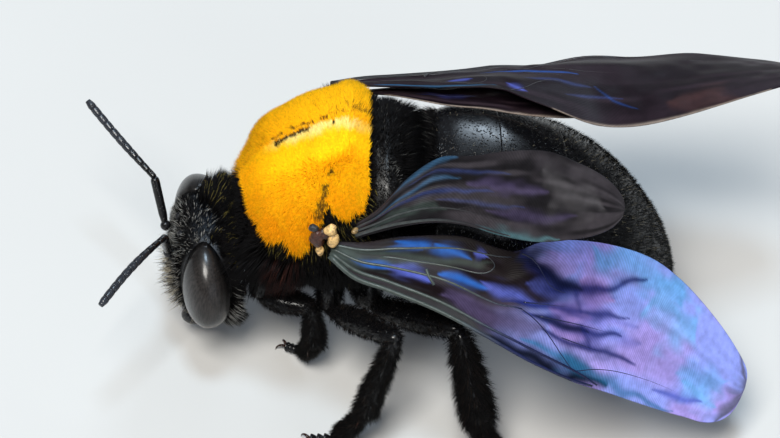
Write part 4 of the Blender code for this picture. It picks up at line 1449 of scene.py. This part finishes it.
AZURE = (0.010, 0.085, 0.36)
SKY = (0.14, 0.37, 0.70)
BLUE_VIOLET = (0.075, 0.10, 0.42)
LILAC = (0.33, 0.26, 0.64)
LAVENDER = (0.25, 0.30, 0.74)
PINK_LILAC = (0.42, 0.24, 0.54)
BLUE_CYAN = (0.12, 0.33, 0.66)
INDIGO = (0.005, 0.012, 0.11)
STEEL = (0.030, 0.085, 0.16)
SLATE_BLUE = (0.030, 0.045, 0.14)
PALE_TEAL = (0.055, 0.115, 0.13)
SMOKE_GREY = (0.060, 0.055, 0.058)
NAVY = (0.002, 0.0035, 0.013)
TEAL = (0.014, 0.11, 0.24)
MAUVE = (0.075, 0.055, 0.125)
UMBER = (0.006, 0.003, 0.004)
PLUM = (0.008, 0.0045, 0.007)
RUSSET = (0.075, 0.030, 0.026)
GREY_GREEN = (0.038, 0.050, 0.045)
SMOKE = (0.030, 0.030, 0.033)
MISTY = (0.10, 0.10, 0.17)
# Pale edge painted where light rims a wing: a painted rim light
PAINTED_RIM_LIGHT = (0.30, 0.24, 0.20)

# Patches of colour on each wing: colour, reach in millimetres, strength, and the line that
# it follows, by share of the span and part of the chord
WING_MARKS = {
    "forewing_left": (
        (SKY, 1.5, 0.75, ((0.67, 0.66), (0.83, 0.81))),
        (BLUE_CYAN, 0.9, 0.8, ((0.49, 0.90), (0.60, 0.90), (0.76, 0.90))),
        (SKY, 0.8, 0.7, ((0.84, 0.25), (0.95, 0.20))),
        (LILAC, 1.0, 0.9, ((0.41, 0.90), (0.46, 0.74))),
        (PINK_LILAC, 0.55, 0.8, ((0.50, 0.66), (0.60, 0.63))),
        (PINK_LILAC, 0.40, 0.8, ((0.45, 0.43), (0.54, 0.44))),
        (LILAC, 0.7, 0.6, ((0.56, 0.48), (0.70, 0.48))),
        (PINK_LILAC, 0.40, 0.6, ((0.47, 0.31), (0.56, 0.32))),
        (BLUE_CYAN, 0.9, 0.6, ((0.80, 0.30), (0.90, 0.40), (0.95, 0.62))),
        (MAUVE, 0.75, 0.7, ((0.22, 0.21), (0.33, 0.25), (0.46, 0.26))),
        (GREY_GREEN, 1.3, 1.0, ((0.00, 0.10), (0.05, 0.50), (0.00, 0.90))),
        (GREY_GREEN, 0.45, 0.8, ((0.05, 0.75), (0.20, 0.65), (0.29, 0.70), (0.31, 0.80))),
        (AZURE, 0.42, 1.0, ((0.11, 0.92), (0.145, 0.86), (0.185, 0.80))),
        (AZURE, 0.36, 1.0, ((0.185, 0.87), (0.22, 0.81), (0.265, 0.75))),
        (BLUE_VIOLET, 0.30, 1.0, ((0.27, 0.84), (0.295, 0.84))),
        (AZURE, 0.40, 0.85, ((0.03, 0.48), (0.08, 0.46), (0.13, 0.42))),
        (BLUE_VIOLET, 0.42, 0.9, ((0.11, 0.44), (0.16, 0.40), (0.21, 0.37))),
        (AZURE, 0.35, 1.0, ((0.225, 0.47), (0.27, 0.49), (0.32, 0.52))),
        (BLUE_VIOLET, 0.42, 0.75, ((0.30, 0.57), (0.36, 0.52), (0.42, 0.44))),
        (SMOKE, 0.60, 1.0, ((0.03, 0.02), (0.20, 0.04), (0.36, 0.04))),
        (UMBER, 0.80, 1.0, ((0.345, 1.00), (0.365, 0.80), (0.405, 0.66), (0.43, 0.55))),
        (BLUE_VIOLET, 0.55, 0.40, ((0.40, 0.62), (0.50, 0.58), (0.60, 0.66))),
        (BLUE_VIOLET, 0.50, 0.40, ((0.42, 0.42), (0.54, 0.46), (0.66, 0.52))),
        (BLUE_VIOLET, 0.50, 0.45, ((0.44, 0.33), (0.56, 0.34), (0.68, 0.40))),
        # Indigo and navy bands along the outer veins, from here to the next blue-violet mark: the veins' own
        # dark colour, partly painted shade in the creases beside them
        (
            INDIGO,
            0.30,
            0.90,
            ((0.36, 1.00), (0.39, 0.80), (0.445, 0.65), (0.50, 0.61), (0.56, 0.68), (0.65, 0.86)),
        ),
        (
            INDIGO,
            0.24,
            0.85,
            ((0.36, 0.42), (0.405, 0.43), (0.463, 0.45), (0.527, 0.49), (0.573, 0.50), (0.64, 0.56)),
        ),
        (INDIGO, 0.27, 0.88, ((0.40, 0.36), (0.45, 0.34), (0.508, 0.35), (0.568, 0.36), (0.633, 0.39))),
        (INDIGO, 0.20, 0.90, ((0.45, 0.27), (0.522, 0.24), (0.583, 0.26), (0.63, 0.25), (0.70, 0.25))),
        (NAVY, 0.26, 0.75, ((0.36, 0.92), (0.40, 0.78), (0.45, 0.65), (0.51, 0.62))),
        (NAVY, 0.18, 0.75, ((0.42, 0.355), (0.46, 0.345), (0.51, 0.35), (0.56, 0.36))),
        (INDIGO, 0.14, 0.5, ((0.49, 0.61), (0.51, 0.52), (0.52, 0.47))),
        (INDIGO, 0.12, 0.5, ((0.53, 0.39), (0.56, 0.32), (0.575, 0.26))),
        (BLUE_VIOLET, 0.24, 0.9, ((0.77, 0.14), (0.84, 0.16), (0.90, 0.20))),
        (NAVY, 0.75, 1.0, ((0.33, 0.03), (0.45, 0.02), (0.56, 0.01), (0.66, 0.02))),
        (TEAL, 0.28, 0.75, ((0.42, 0.15), (0.52, 0.12), (0.62, 0.08), (0.72, 0.04), (0.84, 0.02))),
        (MISTY, 0.55, 0.9, ((0.95, -0.02), (1.00, 0.40), (1.00, 0.80), (0.95, 1.02))),
    ),
    "hindwing_left": (
        (SMOKE_GREY, 0.90, 0.7, ((0.70, 0.70), (0.80, 0.55), (0.94, 0.45))),
        (STEEL, 0.24, 0.7, ((0.12, 0.88), (0.22, 0.92), (0.36, 0.98))),
        (STEEL, 0.13, 0.6, ((0.06, 0.70), (0.20, 0.64), (0.40, 0.66))),
        (SLATE_BLUE, 0.15, 0.55, ((0.05, 0.56), (0.20, 0.48), (0.34, 0.47), (0.52, 0.50))),
        (SLATE_BLUE, 0.12, 0.4, ((0.20, 0.78), (0.40, 0.76), (0.58, 0.72))),
        (SLATE_BLUE, 0.10, 0.35, ((0.30, 0.34), (0.48, 0.32), (0.64, 0.34))),
        (MAUVE, 0.28, 0.45, ((0.42, 0.60), (0.56, 0.56), (0.72, 0.54))),
        (MAUVE, 0.24, 0.35, ((0.50, 0.26), (0.66, 0.24), (0.84, 0.28))),
        # Painted highlight: a grey-green sheen near the base
        (GREY_GREEN, 0.35, 0.8, ((0.00, 0.20), (0.15, 0.30), (0.34, 0.22))),
        (PALE_TEAL, 0.18, 0.8, ((0.46, 0.02), (0.60, 0.00), (0.78, 0.02))),
    ),
    "forewing_right": (
        (AZURE, 0.10, 0.65, ((0.31, 0.45), (0.41, 0.41), (0.51, 0.44))),
        (SLATE_BLUE, 0.12, 0.6, ((0.40, 0.60), (0.47, 0.57), (0.54, 0.60))),
        (SLATE_BLUE, 0.09, 0.5, ((0.48, 0.74), (0.54, 0.70), (0.60, 0.72))),
        (BLUE_VIOLET, 0.16, 0.7, ((0.24, 0.83), (0.29, 0.76))),
        (TEAL, 0.12, 0.9, ((0.09, 0.92), (0.22, 0.97), (0.34, 0.90))),
        # Painted glint: blue light caught by the membrane near the trailing edge
        (BLUE_VIOLET, 0.30, 0.7, ((0.37, 0.80), (0.40, 0.85))),
        # Painted reflection: thin blue lines along the veins
        (AZURE, 0.075, 0.25, ((0.545, 0.58), (0.58, 0.74), (0.63, 0.84))),
        (RUSSET, 0.80, 0.35, ((0.70, 0.78), (0.84, 0.95))),
        # Painted rim light along the trailing edge
        (PAINTED_RIM_LIGHT, 0.10, 0.6, ((0.45, 1.00), (0.70, 1.00), (0.90, 1.00))),
        (RUSSET, 0.16, 0.9, ((0.00, 0.02), (0.30, 0.00), (0.60, 0.00))),
    ),
    "hindwing_right": (
        (BLUE_VIOLET, 0.35, 0.4, ((0.20, 0.60), (0.40, 0.62))),
        (MAUVE, 0.40, 0.3, ((0.55, 0.50), (0.80, 0.60))),
        # Painted rim light along the trailing edge
        (PAINTED_RIM_LIGHT, 0.09, 0.7, ((0.10, 1.00), (0.50, 1.00), (0.90, 1.00))),
    ),
}
WING_GROUNDS = {
    "forewing_left": (UMBER, (0.014, 0.010, 0.015)),
    "hindwing_left": ((0.008, 0.007, 0.008), (0.034, 0.029, 0.033)),
    "forewing_right": (PLUM, (0.018, 0.011, 0.016)),
    "hindwing_right": (PLUM, (0.034, 0.022, 0.028)),
}
# Where the bright outer field of the left forewing starts: part of the chord, share of the span
FIELD_EDGE = (
    (0.00, 0.40),
    (0.25, 0.41),
    (0.36, 0.42),
    (0.50, 0.47),
    (0.62, 0.44),
    (0.80, 0.39),
    (1.00, 0.36),
)
# The widest chords, in millimetres, and the thickness of a membrane
FOREWING_CHORD = 6.0
HINDWING_CHORD = 3.6
MEMBRANE_THICKNESS = 0.06
VEIN_SIDES = 8


def flat_place(share, part):
    """Places of a wing laid flat, in about millimetres, for noise."""
    return np.stack([share * 20.0, part * 6.0, 0 * share], -1)


def mark_share(name, share, part, places, reach):
    """How close places of a wing are to a line along it: 1 on the line, 0 well past reach."""
    fore = name.startswith("fore")
    scale = np.array([FOREWING_LENGTH, FOREWING_CHORD] if fore else [HINDWING_LENGTH, HINDWING_CHORD])
    here = np.stack([share, part], -1) * scale
    place = flat_place(share, part)
    here = here + 0.7 * reach * noise_vector(place, 0.8, 107)[..., :2]
    line = np.asarray(places, float) * scale
    lengths = np.linalg.norm(line[1:] - line[:-1], axis=-1)
    passed = 0.0
    nearest = np.full(share.shape, np.inf)
    for length, (way, away) in zip(lengths, beside_line(here, line)):
        done = (passed + way * length) / lengths.sum()
        taper = 0.16 + 0.84 * (1.0 - np.abs(2.0 * done - 1.0) ** 2.2)
        nearest = np.minimum(nearest, away / taper)
        passed += length
    ragged = 1.0 + 0.45 * noise(place * np.array([0.5, 1.6, 1.0]), 0.45, 111)
    return np.exp(-((nearest / reach * ragged) ** 2))


def membrane_tint(name, share, part):
    """Smoky ground with blue, violet and lilac patches, by place on the wing."""
    place = flat_place(share, part)
    streaked = noise(place * np.array([0.22, 1.8, 1.0]), 0.7, 101) * 0.8 + noise(place, 0.9, 103) * 0.25
    dark, light = WING_GROUNDS[name]
    tint = blend(np.array(dark), np.array(light), smooth(-0.4, 0.6, streaked))
    if name == "forewing_left":
        field = share - table(FIELD_EDGE, part)[..., 0] + 0.02 * noise(place, 0.6, 105)
        cloud = blend(LAVENDER, LILAC, smooth(-0.3, 0.5, noise(place, 1.7, 109)))
        cloud = cloud * (1.0 + 0.25 * streaked)[..., None]
        soft = smooth(0.55, 0.38, part)
        tint = blend(tint, cloud, smooth(0.0, 1.0, (field + 0.015 + 0.07 * soft) / (0.065 + 0.12 * soft)))
    for colour, reach, strength, places in WING_MARKS[name]:
        patch = strength * mark_share(name, share, part, places, reach)
        tint = blend(tint, np.array(colour) * (1.0 + 0.25 * streaked)[..., None], patch)
    return np.clip(tint, 0.0, 1.0)


VEIN_TINTS = {
    "forewing_left": (GREY_GREEN, (0.006, 0.010, 0.050), 0.26, 0.42),
    "hindwing_left": ((0.040, 0.045, 0.045), (0.016, 0.013, 0.016), 0.2, 0.5),
    "forewing_right": ((0.010, 0.008, 0.009), (0.014, 0.009, 0.011), 0.3, 0.6),
    "hindwing_right": ((0.010, 0.008, 0.009), (0.014, 0.009, 0.011), 0.3, 0.6),
}


def build_wings(vein):
    membranes = {
        "fore": membrane_material("forewing_membrane", FOREWING_LENGTH, FOREWING_CHORD),
        "hind": membrane_material("hindwing_membrane", HINDWING_LENGTH, HINDWING_CHORD),
    }
    for name in WING_POSES:
        rows, cols = (260, 90) if name.startswith("fore") else (150, 64)
        share = 1.0 - (1.0 - np.linspace(0.0, 1.0, rows)) ** 1.8
        share, part = np.meshgrid(share, np.linspace(0.0, 1.0, cols), indexing="ij")
        shape = Shape()
        add_sheet(shape, wing_points(name, share, part), MEMBRANE_THICKNESS, membrane_tint(name, share, part))
        shape.build(f"membrane_{name}", membranes[name[:4]], "wing_membrane", (name,))
        shape = Shape()
        for places, thick, thin in FOREWING_VEINS if name.startswith("fore") else HINDWING_VEINS:
            spots = curve(places, 8 * len(places))
            path = wing_points(name, spots[:, 0], spots[:, 1])
            inner, outer, first, last = VEIN_TINTS[name]
            tint = blend(inner, outer, smooth(first, last, spots[:, 0]))[:, None]
            tint = np.broadcast_to(tint, (len(path), VEIN_SIDES, 3))
            add_tube(shape, tube_grid(path, np.linspace(thick, thin, len(path)), VEIN_SIDES), tint)
        shape.build(f"veins_{name}", vein, "wing_membrane")


PLATE_SHIFTS = {"left": (-0.04, 0.0, 0.0), "right": (0.20, 0.05, -0.45)}
WING_PLATES = (
    # middle from the tegula's, half size and colour
    ((0.02, 0.70, 0.46), (0.22, 0.30, 0.34), CREAM),
    ((0.04, 0.82, -0.16), (0.22, 0.27, 0.44), CREAM),
    ((0.02, 0.22, -0.86), (0.18, 0.19, 0.36), CREAM),
    ((-0.02, 0.10, -0.12), (0.24, 0.34, 0.50), RED_BROWN),
    ((-0.12, -0.04, 0.46), (0.18, 0.24, 0.18), SLATE),
    ((-0.10, 0.45, 0.10), (0.22, 0.46, 0.34), RED_BROWN),
)


def pebble(middle, half):
    """A lumpy plate of shell."""
    grid = ball(middle, half, 20, 28)
    out = grid - np.asarray(middle)
    return grid + out * 0.22 * noise(grid, 0.22, 121)[..., None]


def build_wing_bases(sclerite):
    for side, sign in SIDES.items():
        mirror = np.array([sign, 1.0, 1.0])
        shape = Shape()
        for middle, half, colour in WING_PLATES:
            place = np.array(TEGULA_MIDDLES[side]) + np.array(middle) * mirror + PLATE_SHIFTS[side]
            add_tube(shape, pebble(place, half), colour)
        root = np.array(WING_ROOTS[f"hindwing_{side}"])
        add_tube(shape, pebble(root, (0.18, 0.26, 0.15)), CREAM * 0.3)
        shape.build(f"wing_base_{side}", sclerite, "sclerite", (f"tegula_{side}",))


# Legs


def leg_joints(pair, side):
    build = LEGS[pair]
    ahead, angle = build["root"][0], math.radians(build["root"][1])
    nudge = 0.02
    aheads, angles = np.array([ahead, ahead - nudge, ahead]), np.array([angle, angle, angle + nudge])
    sample = trunk_angles(aheads, angles, 2.0)
    normal = unit(np.cross(sample[1] - sample[0], sample[2] - sample[0]))
    normal = normal if normal[2] < 0 else -normal
    direction = unit(normal + np.array([0.0, build["swing"], 0.0]))
    mirror = np.array([SIDES[side], 1.0, 1.0])
    top = (sample[0] + normal * 0.15 + direction * build["swing"] * ROOT_LIFT) * mirror
    hip = top + direction * mirror * build["coxa_length"]
    knee, ankle, heel, toe = from_floor(STANCES[pair, side])
    return top - direction * mirror * 0.8, hip, knee, ankle, heel, toe


def segment_grid(start, end, profile, radius, rows=20, cols=20, flatten=1.0):
    """A leg segment: profile is a table of share and radius, in units of radius."""
    share = np.linspace(0.0, 1.0, rows)
    path = start + (end - start) * share[:, None]
    return tube_grid(path, table(profile, share)[:, 0] * radius, cols, flatten)


COXA_PROFILE = ((0.0, 0.9), (0.5, 1.0), (0.9, 0.75), (1.0, 0.4))
FEMUR_PROFILE = ((0.0, 0.35), (0.08, 0.62), (0.4, 1.0), (0.75, 0.86), (0.93, 0.68), (1.0, 0.35))
TIBIA_PROFILE = ((0.0, 0.35), (0.08, 0.60), (0.5, 0.86), (0.85, 1.0), (0.96, 0.95), (1.0, 0.5))
BASITARSUS_PROFILE = ((0.0, 0.45), (0.1, 0.85), (0.5, 1.0), (0.9, 0.85), (1.0, 0.4))
TARSOMERE_PROFILE = ((0.0, 0.5), (0.3, 0.75), (0.85, 1.0), (1.0, 0.55))


def build_leg(pair, side, shell, hair, rng):
    build = LEGS[pair]
    top, hip, knee, ankle, heel, toe = leg_joints(pair, side)
    shape = Shape()
    # start, end, profile, radius and flatness of each segment
    pieces = [
        (top, hip + (hip - top) * 0.05, COXA_PROFILE, build["femur"] * LEG_SHELLS["coxa"], 1.0),
        (hip, knee + (knee - hip) * 0.03, FEMUR_PROFILE, build["femur"] * LEG_SHELLS["femur"], 0.85),
        (knee, ankle, TIBIA_PROFILE, build["tibia"] * LEG_SHELLS["tibia"], 0.8),
        (ankle, heel, BASITARSUS_PROFILE, build["tarsus"] * LEG_SHELLS["tarsus"], 0.65),
    ]
    grids = []
    for start, end, profile, radius, flatten in pieces:
        grid = segment_grid(start, end, profile, radius, flatten=flatten)
        grids.append(grid)
        add_tube(shape, grid, BLACK)
    cuts = np.linspace(0.0, 1.0, 5)
    for number in range(4):
        first, last = heel + (toe - heel) * cuts[number], heel + (toe - heel) * (cuts[number + 1] - 0.02)
        add_tube(shape, segment_grid(first, last, TARSOMERE_PROFILE, 0.24, 10, 14), BLACK * 1.5)
    add_claws(shape, heel, toe)
    add_spurs(shape, knee, ankle, heel, 2 if pair == "hind" else 1)
    nodes = tuple(f"leg_{pair}_{side}_{part}" for part in ("coxa", "femur", "tibia", "tarsus"))
    shape.build(f"leg_{pair}_{side}", shell, "black_coat", nodes)
    coat_leg(pair, side, grids, hair, rng)


def add_claws(shape, heel, toe):
    """A pair of curved claws at the tip of the foot, their points on the floor."""
    ahead = unit((toe - heel) * np.array([1.0, 1.0, 0.0]))
    across = np.array([-ahead[1], ahead[0], 0.0])
    for sign in (1.0, -1.0):
        out = (ahead * 0.50 + across * sign * 0.34) * 0.85
        lifts = ((0.0, 0.0), (0.45, 0.10), (0.85, 0.0), (1.0, -0.2))
        path = curve([toe + out * reach + [0, 0, lift] for reach, lift in lifts], 14)
        add_tube(shape, tube_grid(path, np.linspace(0.085, 0.012, 14), 10), RED_BROWN * 0.4)


def add_spurs(shape, knee, ankle, heel, count):
    """Short spines at the end of the shin."""
    down = unit(ankle - knee)
    side = unit(np.cross(down, heel - ankle))
    for number in range(count):
        sign = 1.0 if number else -1.0
        start = ankle - down * 0.15 + side * sign * 0.3
        middle = start + down * 0.35 + side * sign * 0.12
        tip = start + down * 0.75 + side * sign * 0.15
        spur = curve([start, middle, tip], 8)
        add_tube(shape, tube_grid(spur, np.linspace(0.06, 0.01, 8), 8), RED_BROWN * 0.6)


LEG_COATS = {
    # hairs on the hip, thigh, shin and foot, and their length in millimetres
    "front": ((900, 0.30), (2200, 0.30), (3400, 0.38), (2200, 0.34)),
    "middle": ((900, 0.30), (2400, 0.32), (4200, 0.46), (3200, 0.42)),
    "hind": ((900, 0.30), (2600, 0.36), (6000, 0.62), (4200, 0.58)),
}


def coat_leg(pair, side, grids, hair, rng):
    shape = Shape()
    for index, (grid, (count, length)) in enumerate(zip(grids, LEG_COATS[pair])):
        along = np.linspace(0, 1, grid.shape[0])[:, None] + np.zeros(grid.shape[:2])
        roots = scatter(grid, smooth(0.0, 0.10, along) + 0.1, count, rng)
        roots.u = (roots.u + index) / 4
        tuft = noise_vector(roots.point, 0.3, 111)
        lean = roots.normal * 0.75 + roots.rear * 0.95 + tuft * 0.35 + rng.normal(0.0, 0.12, (count, 3))
        brown = (rng.random(count) < 0.12) * rng.random(count)
        tip = blend(BLACK_HAIR * 1.5, BROWN_HAIR, brown)
        spans = length * (0.6 + 0.7 * rng.random(count))
        add_spikes(shape, roots, lean, spans, HAIR_RADII["leg"], BLACK_HAIR, tip)
    shape.build(f"coat_leg_{pair}_{side}", hair, "black_coat", uv_name="OFBake")


# Stage


# Area lights: name, place, size in metres, power in watts and colour
LIGHTS = (
    ("key", (0.42, -0.24, 0.82), 0.34, 11.0, (1.0, 0.975, 0.92)),
    ("fill", (0.80, 0.35, 0.30), 0.60, 1.1, (0.85, 0.92, 1.0)),
    ("sky", (-0.66, 0.14, 0.44), 0.20, 1.7, (0.72, 0.86, 1.0)),
    ("top", (0.05, -0.10, 0.90), 0.16, 3.8, (0.62, 0.82, 1.0)),
)
LIGHT_AIM = Vector((0.0, 0.0, 0.008))


def make_light(name, place, size, power, colour):
    """A square area light aimed at the middle of the bee."""
    light = bpy.data.lights.new(name, "AREA")
    light.size = size
    light.energy = power
    light.color = colour
    made = add_object(name, light)
    made.location = place
    made.rotation_euler = (LIGHT_AIM - Vector(place)).to_track_quat("-Z", "Y").to_euler()


FLOOR_HALF = 6.0


def build_stage():
    half = FLOOR_HALF
    mesh = bpy.data.meshes.new("floor")
    corners = [(-half, -half, 0), (half, -half, 0), (half, half, 0), (-half, half, 0)]
    mesh.from_pydata(corners, [], [(0, 1, 2, 3)])
    mesh.materials.append(floor_material())
    add_object("floor", mesh)
    world = bpy.data.worlds.new("studio")
    world.use_nodes = True
    background = world.node_tree.nodes["Background"]
    background.inputs["Color"].default_value = (0.86, 0.90, 1.0, 1.0)
    background.inputs["Strength"].default_value = 0.18
    bpy.context.scene.world = world
    for light in LIGHTS:
        make_light(*light)
    bpy.context.scene.view_settings.view_transform = "Standard"


def build_camera():
    rise = CAMERA_ELEVATION
    away = np.array([math.cos(rise), 0.0, math.sin(rise)])
    right = np.array([0.0, 1.0, 0.0])
    up = np.cross(away, right)
    place = away * CAMERA_DISTANCE
    target = right * CAMERA_AIM[0] + up * CAMERA_AIM[1]
    back = unit(place - target)
    side = unit(np.cross(up, back))
    axes = np.stack([side, np.cross(back, side), back], 1)
    data = bpy.data.cameras.new("camera")
    data.lens = CAMERA_LENS
    data.sensor_width = 36.0
    data.clip_start = 0.01
    data.clip_end = 20.0
    camera = add_object("camera", data)
    matrix = Matrix((TILT @ axes).tolist()).to_4x4()
    matrix.translation = Vector(to_world(place))
    camera.matrix_world = matrix
    bpy.context.scene.camera = camera


def main():
    build_camera()
    build_stage()
    shell = cuticle_material("shell", roughness=0.24, pit_mm=0.13, depth_mm=0.034)
    rough_shell = cuticle_material("rough_shell", roughness=0.42, pit_mm=0.10, depth_mm=0.015)
    hair = hair_material("hair", roughness=0.75, specular=0.12)
    black_hair = hair_material("black_hair", roughness=0.50, specular=0.07)
    sclerite = sclerite_material()
    vein = cuticle_material("vein", roughness=0.35, pit_mm=0.15, depth_mm=0.004)
    trunk = build_trunk(rough_shell)
    coat_trunk(*trunk, hair, black_hair)
    build_abdomen(shell, black_hair)
    build_head(rough_shell, eye_material(), black_hair)
    build_feelers(shell)
    build_mouth(shell)
    build_wings(vein)
    build_wing_bases(sclerite)
    rng = np.random.default_rng(57)
    for pair, side in STANCES:
        build_leg(pair, side, shell, black_hair, rng)


main()
